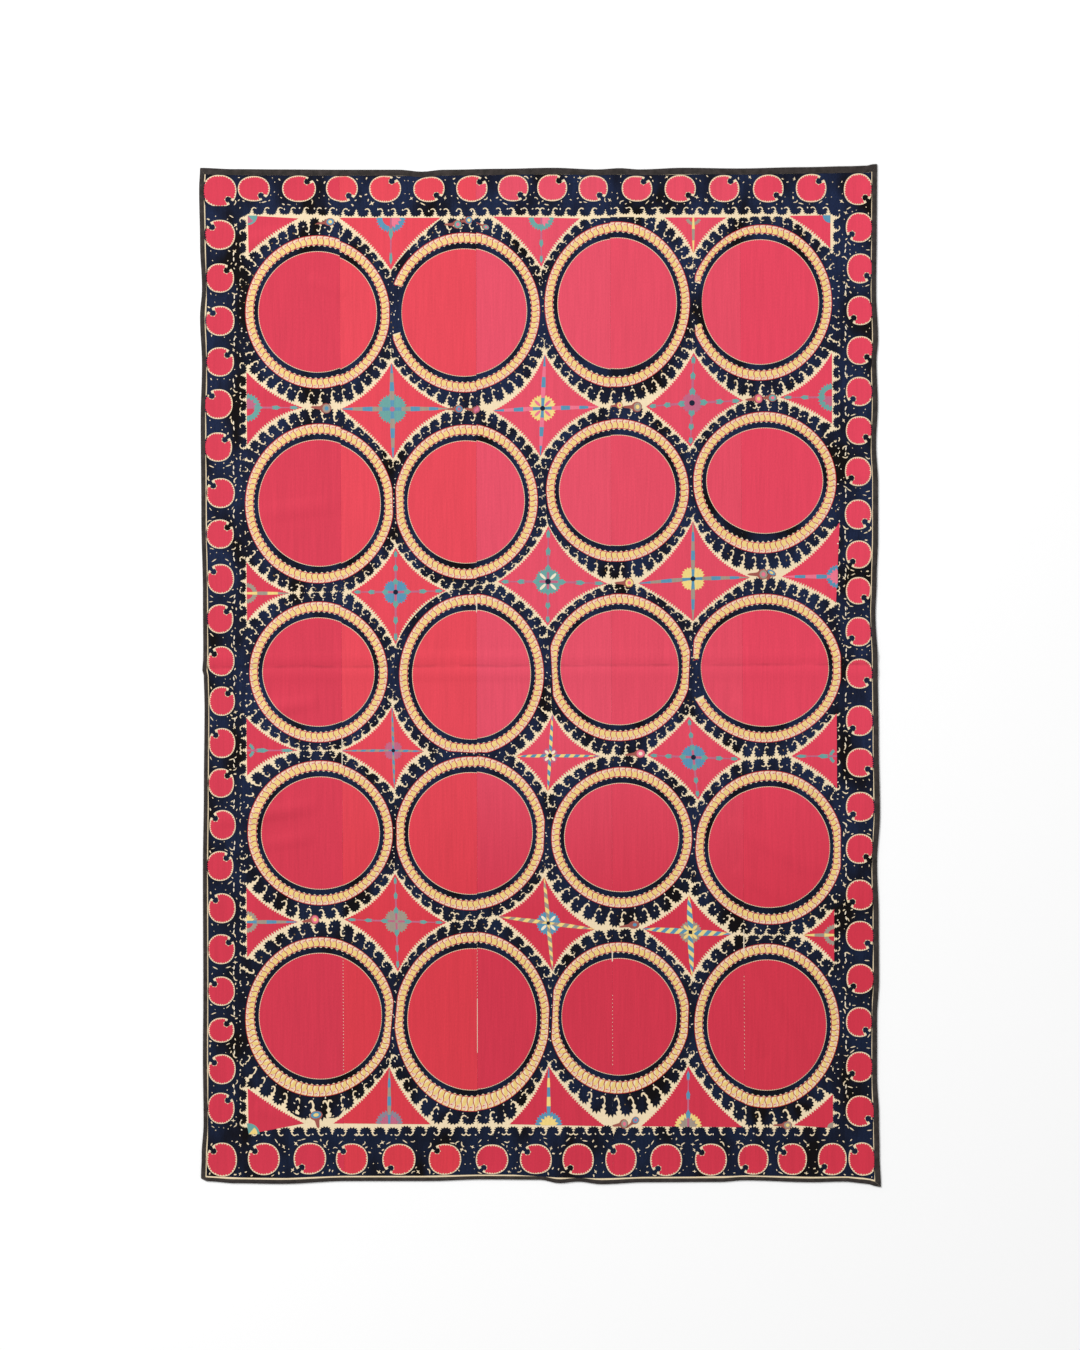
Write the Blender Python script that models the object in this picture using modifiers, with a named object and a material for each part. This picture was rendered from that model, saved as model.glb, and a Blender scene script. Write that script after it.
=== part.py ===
"""A large suzani, a hand embroidered cotton hanging, laid out flat on a surface.

Five loom-width strips of cotton, each with its share of the silk embroidery, lie side by side as
sewn, and a folded tape binds each of the four edges. The origin is at the middle of the cloth, on
the surface that it lies on. X runs across the cloth, Y up its length, and Z up from the surface.
Sizes are in metres. The whole cloth is first described as an exact rectangle, in u across and v up
its length, and lay() then puts each point where it lies on the real, slightly uneven cloth.
"""

import math

import bmesh
import bpy

# Driving sizes of the whole cloth
WIDTH = 2.112
LENGTH = 3.166
CLOTH = 0.0015
TAPE = 0.0010
GAP = 0.0003
HEM_FOLD = 0.0008

# Width of the binding on the face of the cloth, on each side
BINDING = {"top": 0.019, "right": 0.016, "bottom": 0.012, "left": 0.013}
STACK = TAPE + GAP + CLOTH + GAP + TAPE

# How far in from the edge the cloth lies on the tape's under leaf, and where it is down again
LIFT_FULL = 0.028
LIFT_END = 0.050

# Where the strips are sewn together, as u at the top and at the bottom of the cloth
SEAMS = (
    # top, bottom
    (-0.627, -0.612),
    (-0.200, -0.195),
    (0.219, 0.228),
    (0.624, 0.641),
)

# How far each edge stands out from the rectangle, in millimetres, along v or along u in metres
EDGE_REACH = 0.150
EDGE_OUT = {
    "left": (
        # v, out
        (-1.583, 3), (-1.500, 1), (-1.400, -5), (-1.200, -3), (-1.000, -4), (-0.600, -3),
        (-0.350, -6), (-0.100, -8), (0.000, -6), (0.020, -1), (0.045, -4), (0.250, -3),
        (0.500, 2), (0.800, 4), (0.970, 0), (1.120, 6), (1.210, 0), (1.350, 6), (1.520, 9),
        (1.583, 6),
    ),
    "right": (
        # v, out
        (-1.583, 9), (-1.500, 5), (-1.380, 3), (-1.250, -3), (-1.070, -3), (-0.950, 3),
        (-0.750, 2), (-0.590, -3), (-0.430, 6), (-0.200, 2), (0.040, -1), (0.190, -8),
        (0.300, -4), (0.430, 0), (0.600, 0), (0.720, -6), (0.850, -1), (0.980, -5),
        (1.050, 0), (1.200, -6), (1.400, -4), (1.583, -3),
    ),
    "bottom": (
        # u, out
        (-1.056, -12), (-1.036, -3), (-0.950, 3), (-0.810, 5), (-0.600, -4), (-0.350, -4),
        (-0.180, -9), (0.000, -8), (0.060, 3), (0.120, -2), (0.190, 6), (0.330, 0),
        (0.560, -1), (0.640, -6), (0.850, 0), (0.950, -2), (1.015, 4), (1.040, 12),
        (1.056, 15),
    ),
    "top": (
        # u, out
        (-1.056, 3), (-0.960, -1), (-0.800, -2), (-0.620, -3), (-0.440, -3), (-0.370, -9),
        (-0.300, -3), (-0.120, 0), (0.040, 3), (0.180, -2), (0.250, 2), (0.310, -2),
        (0.450, 3), (0.620, 1), (0.820, 5), (0.960, 8), (1.030, 10), (1.040, 14),
        (1.056, 15),
    ),
}

# The fold line of storage, right across the cloth: a shallow groove between two low swells
FOLD_V_LEFT = 0.026
FOLD_V_RIGHT = 0.036
FOLD_REACH = 0.055
FOLD_HEIGHT = 0.0025

# Soft creases, each a low ridge from one end to the other
CREASES = (
    # u start, v start, u end, v end, half width, height
    (-0.920, -0.116, -0.690, -0.084, 0.036, 0.0040),
    (-1.028, -0.456, -0.690, -0.406, 0.036, 0.0050),
    (-0.880, -0.530, -0.700, -0.505, 0.034, 0.0030),
    (0.590, -0.455, 0.870, -0.620, 0.040, 0.0050),
    (0.610, -0.600, 0.800, -0.725, 0.036, 0.0040),
    (0.640, -0.890, 0.860, -1.240, 0.040, 0.0050),
    (0.570, -0.980, 0.700, -1.190, 0.036, 0.0030),
    (0.600, -0.070, 0.790, -0.175, 0.036, 0.0030),
    (-0.930, 1.352, -0.760, 1.390, 0.036, 0.0035),
    (-0.720, 1.245, -0.610, 1.185, 0.030, 0.0025),
    (-0.940, 0.910, -0.770, 0.868, 0.036, 0.0030),
    (0.920, 0.648, 1.050, 0.605, 0.034, 0.0030),
    (-0.890, -1.345, -0.730, -1.395, 0.036, 0.0030),
    (-0.880, 0.508, -0.640, 0.532, 0.040, 0.0025),
)

# Rows of the sheets: from the bottom up, where each stretch of rows ends and how far apart they are
FOLD_LOW = FOLD_V_LEFT - FOLD_REACH
FOLD_HIGH = FOLD_V_LEFT + FOLD_REACH
FOLD_STEP = FOLD_REACH / 2
PLAIN_STEP = 0.080
CREASED_STEP = 0.040
ROW_TOP = LENGTH / 2 - LIFT_END
PLAIN_ROWS = ((FOLD_LOW, PLAIN_STEP), (FOLD_HIGH, FOLD_STEP), (ROW_TOP, PLAIN_STEP))
ROWS = {
    "panel_1": (
        (-0.60, PLAIN_STEP), (FOLD_LOW, CREASED_STEP), (FOLD_HIGH, FOLD_STEP),
        (0.60, CREASED_STEP), (ROW_TOP, PLAIN_STEP),
    ),
    "panel_2": PLAIN_ROWS,
    "panel_3": PLAIN_ROWS,
    "panel_4": PLAIN_ROWS,
    "panel_5": (
        (-1.28, PLAIN_STEP), (FOLD_LOW, CREASED_STEP), (FOLD_HIGH, FOLD_STEP),
        (ROW_TOP, PLAIN_STEP),
    ),
}
COLUMNS = {"panel_1": 10, "panel_2": 5, "panel_3": 5, "panel_4": 5, "panel_5": 10}


def between(table, place):
    """The value of a two-column table at one place, with soft turns at its rows."""
    for (start, low), (end, high) in zip(table, table[1:]):
        if place <= end:
            share = min(max((place - start) / (end - start), 0.0), 1.0)
            return low + (high - low) * (0.5 - 0.5 * math.cos(math.pi * share))
    return table[-1][1]


def edge_share(inset):
    """How much of an edge's unevenness is felt at a distance in from that edge."""
    return max(0.0, 1.0 - inset / EDGE_REACH) ** 2


def fold_v(u):
    """Where the storage fold crosses the cloth."""
    return FOLD_V_LEFT + (FOLD_V_RIGHT - FOLD_V_LEFT) * (u / WIDTH + 0.5)


def fold_height(u, v):
    """Height of the two swells beside the storage fold, with the groove between them at rest."""
    offset = min(abs(v - fold_v(u)) / FOLD_REACH, 1.0)
    peak = math.sqrt(0.2) * 0.64
    return FOLD_HEIGHT * offset * (1.0 - offset ** 2) ** 2 / peak


def crease_height(u, v, crease):
    """Height of one soft ridge, which runs out to nothing at its two ends."""
    u_start, v_start, u_end, v_end, half_width, height = crease
    run_u = u_end - u_start
    run_v = v_end - v_start
    share = ((u - u_start) * run_u + (v - v_start) * run_v) / (run_u ** 2 + run_v ** 2)
    if not 0.0 < share < 1.0:
        return 0.0
    offset = math.hypot(u - u_start - share * run_u, v - v_start - share * run_v) / half_width
    if offset >= 1.0:
        return 0.0
    return height * (1.0 - offset ** 2) ** 2 * math.sin(math.pi * share) ** 0.6


def relief(u, v):
    """Height of the cloth's folds above the surface."""
    return max([fold_height(u, v)] + [crease_height(u, v, crease) for crease in CREASES])


def lift(u, v):
    """Height that the tape's under leaf gives the cloth near its edges."""
    inset = min(u + WIDTH / 2, WIDTH / 2 - u, v + LENGTH / 2, LENGTH / 2 - v)
    share = min(max((LIFT_END - inset) / (LIFT_END - LIFT_FULL), 0.0), 1.0)
    return (TAPE + GAP) * share


def lay(u, v, height):
    """Where a point of the exact rectangle lies on the real cloth, at a height above its folds."""
    out = {side: between(EDGE_OUT[side], v) * 0.001 for side in ("left", "right")}
    out.update({side: between(EDGE_OUT[side], u) * 0.001 for side in ("top", "bottom")})
    x = u + out["right"] * edge_share(WIDTH / 2 - u) - out["left"] * edge_share(u + WIDTH / 2)
    y = v + out["top"] * edge_share(LENGTH / 2 - v) - out["bottom"] * edge_share(v + LENGTH / 2)
    return x, y, relief(u, v) + height


def seam_u(seam, v):
    """Where one seam lies across the cloth at v."""
    top, bottom = SEAMS[seam]
    return bottom + (top - bottom) * (v / LENGTH + 0.5)


def rows_of(name):
    """The v of each row of a strip, without its two cut ends."""
    start = LIFT_END - LENGTH / 2
    rows = [LIFT_FULL - LENGTH / 2, start]
    for end, step in ROWS[name]:
        count = round((end - start) / step)
        rows += [start + (end - start) * index / count for index in range(1, count + 1)]
        start = end
    return rows + [LENGTH / 2 - LIFT_FULL]


def row_v(v, u):
    """The v of a row at u: the rows of the storage fold run along it."""
    if FOLD_LOW - GAP < v < FOLD_HIGH + GAP:
        return v + fold_v(u) - FOLD_V_LEFT
    return v


def columns_of(name, v):
    """The u values of a strip's columns at v, from its left side to its right side."""
    index = int(name[-1]) - 1
    last = len(SEAMS)
    edge = WIDTH / 2 - TAPE - GAP
    left = -edge if index == 0 else seam_u(index - 1, v) + GAP / 2
    right = edge if index == last else seam_u(index, v) - GAP / 2
    inner_left = -WIDTH / 2 + LIFT_END if index == 0 else left
    inner_right = WIDTH / 2 - LIFT_END if index == last else right
    step = (inner_right - inner_left) / COLUMNS[name]
    columns = [inner_left + step * count for count in range(COLUMNS[name] + 1)]
    if index == 0:
        columns = [left, -WIDTH / 2 + LIFT_FULL] + columns
    if index == last:
        columns = columns + [WIDTH / 2 - LIFT_FULL, right]
    return columns


def new_part(name, mesh, material, collection):
    """Turn a bmesh into a named object with its material."""
    data = bpy.data.meshes.new(name)
    mesh.to_mesh(data)
    mesh.free()
    data.materials.append(material)
    part = bpy.data.objects.new(name, data)
    collection.objects.link(part)
    return part


def principled(name, colour, roughness):
    """A plain cloth material."""
    material = bpy.data.materials.new(name)
    material.use_nodes = True
    shader = material.node_tree.nodes["Principled BSDF"]
    shader.inputs["Base Color"].default_value = (*colour, 1.0)
    shader.inputs["Roughness"].default_value = roughness
    shader.inputs["Metallic"].default_value = 0.0
    return material


def make_strip(name, material, collection):
    """One loom-width strip of embroidered cotton: a laid grid that Solidify gives its thickness."""
    cut = LENGTH / 2 - TAPE - GAP
    rows = [-cut] + rows_of(name) + [cut]
    steps_across = len(columns_of(name, 0.0)) - 1
    steps_up = len(rows) - 1
    sheet = bmesh.new()
    bmesh.ops.create_grid(sheet, x_segments=steps_across, y_segments=steps_up, size=0.5)
    for vert in sheet.verts:
        row = rows[round((vert.co.y + 0.5) * steps_up)]
        u = columns_of(name, row)[round((vert.co.x + 0.5) * steps_across)]
        v = row_v(row, u)
        vert.co = lay(u, v, lift(u, v))
    part = new_part(name, sheet, material, collection)
    thickness = part.modifiers.new("cloth thickness", "SOLIDIFY")
    thickness.thickness = CLOTH
    thickness.offset = 1.0


def tape_section(width):
    """The folded tape cut across, as depth in from the edge and height above the folds."""
    return (
        (width, 0.0), (HEM_FOLD, 0.0), (0.0, HEM_FOLD), (0.0, STACK - HEM_FOLD),
        (HEM_FOLD, STACK), (width, STACK), (width, STACK - TAPE), (TAPE, STACK - TAPE),
        (TAPE, TAPE), (width, TAPE),
    )


def side_point(side, along, depth, height):
    """A point of the binding of one side, on the real cloth."""
    if side in ("left", "right"):
        u = WIDTH / 2 - depth if side == "right" else depth - WIDTH / 2
        return lay(u, row_v(along, u), height)
    v = LENGTH / 2 - depth if side == "top" else depth - LENGTH / 2
    return lay(along, v, height)


def binding_stations(side):
    """Where the sections of one side's tape stand: on the rows or columns of the cloth in it."""
    if side in ("left", "right"):
        return rows_of("panel_1" if side == "left" else "panel_5")
    v = LENGTH / 2 if side == "top" else -LENGTH / 2
    columns = [u for name in COLUMNS for u in columns_of(name, v)[:-1]]
    return [u for u in columns if abs(u) < WIDTH / 2 - LIFT_FULL + GAP]


def make_binding(side, material, collection):
    """The tape folded over one edge: its section carried from mitre to mitre."""
    width = BINDING[side]
    along_x = side in ("top", "bottom")
    first, last = ("left", "right") if along_x else ("bottom", "top")
    half = WIDTH / 2 if along_x else LENGTH / 2
    section = tape_section(width)
    tape = bmesh.new()
    cap = tape.faces.new([tape.verts.new((depth, 0.0, height)) for depth, height in section])
    for index, station in enumerate([-half] + binding_stations(side) + [half]):
        if index > 0:
            made = bmesh.ops.extrude_face_region(tape, geom=[cap])["geom"]
            if index > 1:
                bmesh.ops.delete(tape, geom=[cap], context="FACES_ONLY")
            cap = next(item for item in made if isinstance(item, bmesh.types.BMFace))
        for vert, (depth, height) in zip(cap.verts, section):
            low = depth * BINDING[first] / width + GAP - half
            high = half - depth * BINDING[last] / width - GAP
            vert.co = side_point(side, min(max(station, low), high), depth, height)
    bmesh.ops.recalc_face_normals(tape, faces=tape.faces[:])
    new_part(f"binding_{side}", tape, material, collection)


def main():
    for old in list(bpy.data.objects):
        bpy.data.objects.remove(old, do_unlink=True)
    suzani = bpy.data.collections.new("suzani")
    bpy.context.scene.collection.children.link(suzani)
    embroidered = principled("embroidered cotton", (0.74, 0.08, 0.11), 0.75)
    tape = principled("binding tape", (0.05, 0.045, 0.04), 0.85)
    for name in COLUMNS:
        make_strip(name, embroidered, suzani)
    for side in BINDING:
        make_binding(side, tape, suzani)


main()
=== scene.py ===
# %% [markdown]
# # A suzani, embroidered in silk and laid flat
# A suzani is a large embroidered hanging. This one is five loom-width strips of hand-woven cotton.
# The strips were sewn together loosely, the design was drawn on them, they were taken apart again
# for several people to embroider, and then joined for good. So the pattern slips a little at each
# seam, and each strip has its own shade of the same red. A dark tape binds the four edges.
#
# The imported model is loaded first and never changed. It gives the true size of the cloth.

import math
import random

import bmesh
import bpy
import numpy as np
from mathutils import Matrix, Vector


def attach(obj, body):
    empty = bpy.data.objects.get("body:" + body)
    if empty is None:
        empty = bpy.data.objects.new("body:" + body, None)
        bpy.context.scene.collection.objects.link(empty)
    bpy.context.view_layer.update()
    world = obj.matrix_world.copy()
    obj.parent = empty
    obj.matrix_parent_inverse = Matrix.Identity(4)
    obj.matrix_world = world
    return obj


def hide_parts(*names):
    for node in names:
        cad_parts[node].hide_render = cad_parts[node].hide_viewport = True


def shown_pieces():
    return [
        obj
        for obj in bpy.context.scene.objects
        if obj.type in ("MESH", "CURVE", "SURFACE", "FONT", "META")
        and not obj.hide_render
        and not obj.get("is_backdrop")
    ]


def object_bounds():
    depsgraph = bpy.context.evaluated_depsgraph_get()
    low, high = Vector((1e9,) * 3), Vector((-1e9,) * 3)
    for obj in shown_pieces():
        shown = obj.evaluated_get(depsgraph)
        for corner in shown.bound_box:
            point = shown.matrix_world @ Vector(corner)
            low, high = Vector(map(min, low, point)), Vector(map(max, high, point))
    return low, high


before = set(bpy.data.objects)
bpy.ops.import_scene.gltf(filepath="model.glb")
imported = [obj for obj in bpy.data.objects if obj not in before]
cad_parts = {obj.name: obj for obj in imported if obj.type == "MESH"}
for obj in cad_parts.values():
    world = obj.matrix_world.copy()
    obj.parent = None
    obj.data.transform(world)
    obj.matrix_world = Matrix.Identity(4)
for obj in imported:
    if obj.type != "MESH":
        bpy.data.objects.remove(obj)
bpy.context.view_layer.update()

# %% [markdown]
# ## The size of the cloth
# These are the sizes that the solid model was made from: the exact rectangle, the thickness of the
# cotton and of the tape, and how wide the tape is on the face of the cloth at each side.

# %% Sizes of the cloth, in metres
MM = 0.001
WIDTH = 2.112
LENGTH = 3.166
CLOTH = 0.0015
TAPE = 0.0010
GAP = 0.0003
HEM_FOLD = 0.0008
BINDING = {"top": 0.019, "right": 0.016, "bottom": 0.012, "left": 0.013}
STACK = TAPE + GAP + CLOTH + GAP + TAPE
LIFT_FULL = 0.028
LIFT_END = 0.050
SEAMS = (
    # u at the top, u at the bottom
    (-0.627, -0.612),
    (-0.200, -0.195),
    (0.219, 0.228),
    (0.624, 0.641),
)
STRIPS = range(len(SEAMS) + 1)

# %% [markdown]
# ## How the real cloth differs from the rectangle
# The pattern is easiest to draw on an exact rectangle, with u across and v up the cloth. The real
# cloth isn't exact: its edges wander by a few millimetres, it was stored folded across the middle,
# and soft creases run through it. lay() puts flat points where they lie on the real cloth. Numpy
# works it out for a whole mesh at once, which is far quicker than a loop over the points.

# %% Edges that wander, a storage fold and soft creases
EDGE_REACH = 0.150
EDGE_OUT = {  # metres along the edge, millimetres that the edge stands out
    "left": (
        (-1.583, 3), (-1.500, 1), (-1.400, -5), (-1.200, -3), (-1.000, -4), (-0.600, -3),
        (-0.350, -6), (-0.100, -8), (0.000, -6), (0.020, -1), (0.045, -4), (0.250, -3),
        (0.500, 2), (0.800, 4), (0.970, 0), (1.120, 6), (1.210, 0), (1.350, 6), (1.520, 9),
        (1.583, 6),
    ),
    "right": (
        (-1.583, 9), (-1.500, 5), (-1.380, 3), (-1.250, -3), (-1.070, -3), (-0.950, 3),
        (-0.750, 2), (-0.590, -3), (-0.430, 6), (-0.200, 2), (0.040, -1), (0.190, -8),
        (0.300, -4), (0.430, 0), (0.600, 0), (0.720, -6), (0.850, -1), (0.980, -5),
        (1.050, 0), (1.200, -6), (1.400, -4), (1.583, -3),
    ),
    "bottom": (
        (-1.056, -12), (-1.036, -3), (-0.950, 3), (-0.810, 5), (-0.600, -4), (-0.350, -4),
        (-0.180, -9), (0.000, -8), (0.060, 3), (0.120, -2), (0.190, 6), (0.330, 0),
        (0.560, -1), (0.640, -6), (0.850, 0), (0.950, -2), (1.015, 4), (1.040, 12),
        (1.056, 15),
    ),
    "top": (
        (-1.056, 3), (-0.960, -1), (-0.800, -2), (-0.620, -3), (-0.440, -3), (-0.370, -9),
        (-0.300, -3), (-0.120, 0), (0.040, 3), (0.180, -2), (0.250, 2), (0.310, -2),
        (0.450, 3), (0.620, 1), (0.820, 5), (0.960, 8), (1.030, 10), (1.040, 14),
        (1.056, 15),
    ),
}
FOLD_V_LEFT = 0.026
FOLD_V_RIGHT = 0.036
FOLD_REACH = 0.055
FOLD_HEIGHT = 0.0025
CREASES = (
    # u start, v start, u end, v end, half width, height
    (-0.920, -0.116, -0.690, -0.084, 0.036, 0.0040),
    (-1.028, -0.456, -0.690, -0.406, 0.036, 0.0050),
    (-0.880, -0.530, -0.700, -0.505, 0.034, 0.0030),
    (0.590, -0.455, 0.870, -0.620, 0.040, 0.0050),
    (0.610, -0.600, 0.800, -0.725, 0.036, 0.0040),
    (0.640, -0.890, 0.860, -1.240, 0.040, 0.0050),
    (0.570, -0.980, 0.700, -1.190, 0.036, 0.0030),
    (0.600, -0.070, 0.790, -0.175, 0.036, 0.0030),
    (-0.930, 1.352, -0.760, 1.390, 0.036, 0.0035),
    (-0.720, 1.245, -0.610, 1.185, 0.030, 0.0025),
    (-0.940, 0.910, -0.770, 0.868, 0.036, 0.0030),
    (0.920, 0.648, 1.050, 0.605, 0.034, 0.0030),
    (-0.890, -1.345, -0.730, -1.395, 0.036, 0.0030),
    (-0.880, 0.508, -0.640, 0.532, 0.040, 0.0025),
)


def between(table, place):
    """Values of a two-column table at many places, with soft turns at its rows."""
    starts = np.array([row[0] for row in table])
    values = np.array([row[1] for row in table], float)
    row = np.clip(np.searchsorted(starts, place, side="left") - 1, 0, len(table) - 2)
    share = np.clip((place - starts[row]) / (starts[row + 1] - starts[row]), 0.0, 1.0)
    ease = 0.5 - 0.5 * np.cos(math.pi * share)
    return values[row] + (values[row + 1] - values[row]) * ease


def fold_v(u):
    """Where the storage fold crosses the cloth."""
    return FOLD_V_LEFT + (FOLD_V_RIGHT - FOLD_V_LEFT) * (u / WIDTH + 0.5)


def relief(u, v):
    """Height of the folds and creases above the surface that the cloth lies on."""
    offset = np.minimum(abs(v - fold_v(u)) / FOLD_REACH, 1.0)
    height = FOLD_HEIGHT * offset * (1.0 - offset ** 2) ** 2 / (math.sqrt(0.2) * 0.64)
    for u_start, v_start, u_end, v_end, half_width, ridge in CREASES:
        run_u = u_end - u_start
        run_v = v_end - v_start
        share = ((u - u_start) * run_u + (v - v_start) * run_v) / (run_u ** 2 + run_v ** 2)
        along = np.clip(share, 0.0, 1.0)
        aside = np.hypot(u - u_start - share * run_u, v - v_start - share * run_v) / half_width
        swell = (1.0 - np.minimum(aside, 1.0) ** 2) ** 2
        height = np.maximum(height, ridge * swell * abs(np.sin(math.pi * along)) ** 0.6)
    return height


def lift(u, v):
    """Height that the under leaf of the tape gives the cloth near its edges."""
    inset_u = np.minimum(u + WIDTH / 2, WIDTH / 2 - u)
    inset_v = np.minimum(v + LENGTH / 2, LENGTH / 2 - v)
    share = (LIFT_END - np.minimum(inset_u, inset_v)) / (LIFT_END - LIFT_FULL)
    return (TAPE + GAP) * np.clip(share, 0.0, 1.0)


def edge_share(inset):
    """How much of an edge's unevenness is felt at a distance in from that edge."""
    return np.maximum(0.0, 1.0 - inset / EDGE_REACH) ** 2


def shift(u, v):
    """How far the real cloth lies from the rectangle, across and up."""
    out = {side: between(EDGE_OUT[side], v) * MM for side in ("left", "right")}
    out.update({side: between(EDGE_OUT[side], u) * MM for side in ("top", "bottom")})
    across = out["right"] * edge_share(WIDTH / 2 - u) - out["left"] * edge_share(u + WIDTH / 2)
    up = out["top"] * edge_share(LENGTH / 2 - v) - out["bottom"] * edge_share(v + LENGTH / 2)
    return across, up


def lay(u, v, height):
    """Where flat points lie on the real cloth, at a height above its folds."""
    across, up = shift(u, v)
    return u + across, v + up, relief(u, v) + height


def flat_of(x, y):
    """The flat place of a point measured on the real cloth: lay() turned round, in two steps."""
    u, v = x, y
    for _ in range(2):
        across, up = shift(np.array([u]), np.array([v]))
        u, v = x - float(across[0]), y - float(up[0])
    return u, v


def seam_u(seam, v):
    """Where one seam lies across the cloth at v."""
    top, bottom = SEAMS[seam]
    return bottom + (top - bottom) * (v / LENGTH + 0.5)


print("highest fold, mm:", round(max(row[5] for row in CREASES) / MM, 1))

# %% [markdown]
# ## Camera, light and floor
# The cloth is seen from straight above. A camera eight metres up looks down on it, and its lens is
# worked out from the size of the view: a frame of 1080 by 1350 pixels that is 3.375 m wide at the
# cloth. The light is soft and even, from one large lamp and a pale world, as in a studio.

# %% Camera straight above
VIEW_HEIGHT = 8.0
VIEW_TALL = 4.21875
VIEW_CENTRE_V = 0.0016
SENSOR = 36.0
camera_data = bpy.data.cameras.new("camera")
camera_data.sensor_width = SENSOR
camera_data.lens = SENSOR * VIEW_HEIGHT / VIEW_TALL
camera = bpy.data.objects.new("camera", camera_data)
camera.location = (0.0, VIEW_CENTRE_V, VIEW_HEIGHT)
bpy.context.scene.collection.objects.link(camera)
bpy.context.scene.camera = camera
bpy.context.scene.view_settings.view_transform = "Standard"
print("lens, mm:", round(camera_data.lens, 2))


# %% [markdown]
# ## One function for nodes and one for colours
# Each material below is a small tree of nodes. add() makes one node, gives it its settings and
# links its inputs. Colours are written as sRGB hex, the way that a paint program shows them, and
# linear() turns them into the linear values that the shaders need. A colour that was read from the
# cloth already holds its light, so shown_as() takes out the gain and the haze that the lamp adds.

# %% Helpers for materials
def linear(colour):
    """A hex sRGB colour as linear red, green, blue and alpha."""
    parts = [int(colour[place:place + 2], 16) / 255 for place in (1, 3, 5)]
    return (*[c / 12.92 if c <= 0.04045 else ((c + 0.055) / 1.055) ** 2.4 for c in parts], 1.0)


LAMP_GAIN = 1.12
LAMP_HAZE = 0.015
DARKEST = 0.002


def shown_as(colour):
    """The base colour, in linear light, that shows as a hex sRGB colour under the lamp of this scene."""
    *seen, alpha = linear(colour)
    return (*[max(DARKEST, (c - LAMP_HAZE) / LAMP_GAIN) for c in seen], alpha)


def add(tree, kind, inputs=None, **settings):
    """One node with its settings. An input is given a number, a colour or another node's output."""
    made = tree.nodes.new(kind)
    for name, value in settings.items():
        setattr(made, name, value)
    for socket, value in (inputs or {}).items():
        if isinstance(value, bpy.types.NodeSocket):
            tree.links.new(value, made.inputs[socket])
        else:
            made.inputs[socket].default_value = value
    return made


def new_material(name, roughness, sheen=0.0, specular=0.3):
    """An empty cloth material: its tree, its shader and its place on the cloth in metres."""
    material = bpy.data.materials.new(name)
    material.use_nodes = True
    tree = material.node_tree
    shader = tree.nodes["Principled BSDF"]
    shader.inputs["Roughness"].default_value = roughness
    shader.inputs["Specular IOR Level"].default_value = specular
    shader.inputs["Sheen Weight"].default_value = sheen
    shader.inputs["Sheen Roughness"].default_value = 0.4
    place = add(tree, "ShaderNodeTexCoord").outputs["Object"]
    return material, tree, shader, place


def stretched_noise(tree, place, size_u, size_v, detail=2.0):
    """Noise with patches of a given real size in metres, across and up the cloth."""
    mapping = add(tree, "ShaderNodeMapping", {"Vector": place, "Scale": (1 / size_u, 1 / size_v, 1.0)})
    noise = add(
        tree, "ShaderNodeTexNoise",
        {"Vector": mapping.outputs[0], "Scale": 1.0, "Detail": detail, "Roughness": 0.55},
    )
    return noise.outputs["Fac"]


def ranged(tree, value, low, high, start=0.3, end=0.7):
    """A noise value spread to a new range."""
    made = add(
        tree, "ShaderNodeMapRange",
        {"Value": value, "From Min": start, "From Max": end, "To Min": low, "To Max": high},
    )
    return made.outputs["Result"]


def times(tree, first, second):
    """Two values multiplied."""
    return add(tree, "ShaderNodeMath", {0: first, 1: second}, operation="MULTIPLY").outputs[0]


def mixed(tree, factor, first, second):
    """Two colours mixed by a factor."""
    made = add(tree, "ShaderNodeMix", data_type="RGBA")
    for socket, value in ((0, factor), (6, first), (7, second)):
        if isinstance(value, bpy.types.NodeSocket):
            tree.links.new(value, made.inputs[socket])
        else:
            made.inputs[socket].default_value = value
    return made.outputs[2]


def shaded(tree, colour, value):
    """A colour made lighter or darker by a value near one."""
    return add(
        tree, "ShaderNodeVectorMath", {"Vector": colour, "Scale": value}, operation="SCALE",
    ).outputs["Vector"]


def painted_fold_shade(tree, place):
    """A value that darkens the cloth along its storage fold: painted shade of the crease, made patchy by noise."""
    parts = add(tree, "ShaderNodeSeparateXYZ", {0: place})
    slope = (FOLD_V_RIGHT - FOLD_V_LEFT) / WIDTH
    rise = times(tree, parts.outputs["X"], slope)
    away = add(tree, "ShaderNodeMath", {0: parts.outputs["Y"], 1: rise}, operation="SUBTRACT").outputs[0]
    middle = (FOLD_V_LEFT + FOLD_V_RIGHT) / 2
    away = add(tree, "ShaderNodeMath", {0: away, 1: middle}, operation="SUBTRACT").outputs[0]
    away = add(tree, "ShaderNodeMath", {0: away}, operation="ABSOLUTE").outputs[0]
    near = ranged(tree, away, 1.0, 0.0, 0.001, 0.007)
    # Painted shade: a thin dark line along the fold stands in for the shadow in its crease.
    patchy_fold_shade = ranged(tree, stretched_noise(tree, place, 0.11, 0.03, 3.0), 0.0, 0.24, 0.38, 0.62)
    dark = times(tree, near, patchy_fold_shade)
    return add(tree, "ShaderNodeMath", {0: 1.0, 1: dark}, operation="SUBTRACT").outputs[0]


def bumped(tree, shader, value, distance, strength=1.0):
    """Small relief from a value, in metres."""
    bump = add(tree, "ShaderNodeBump", {"Height": value, "Distance": distance, "Strength": strength})
    tree.links.new(bump.outputs["Normal"], shader.inputs["Normal"])


# %% [markdown]
# ## The floor and the lamps
# The floor is a plain pale sheet, so that nothing draws the eye from the cloth. It is marked as
# stage, because it isn't part of the object.

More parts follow.
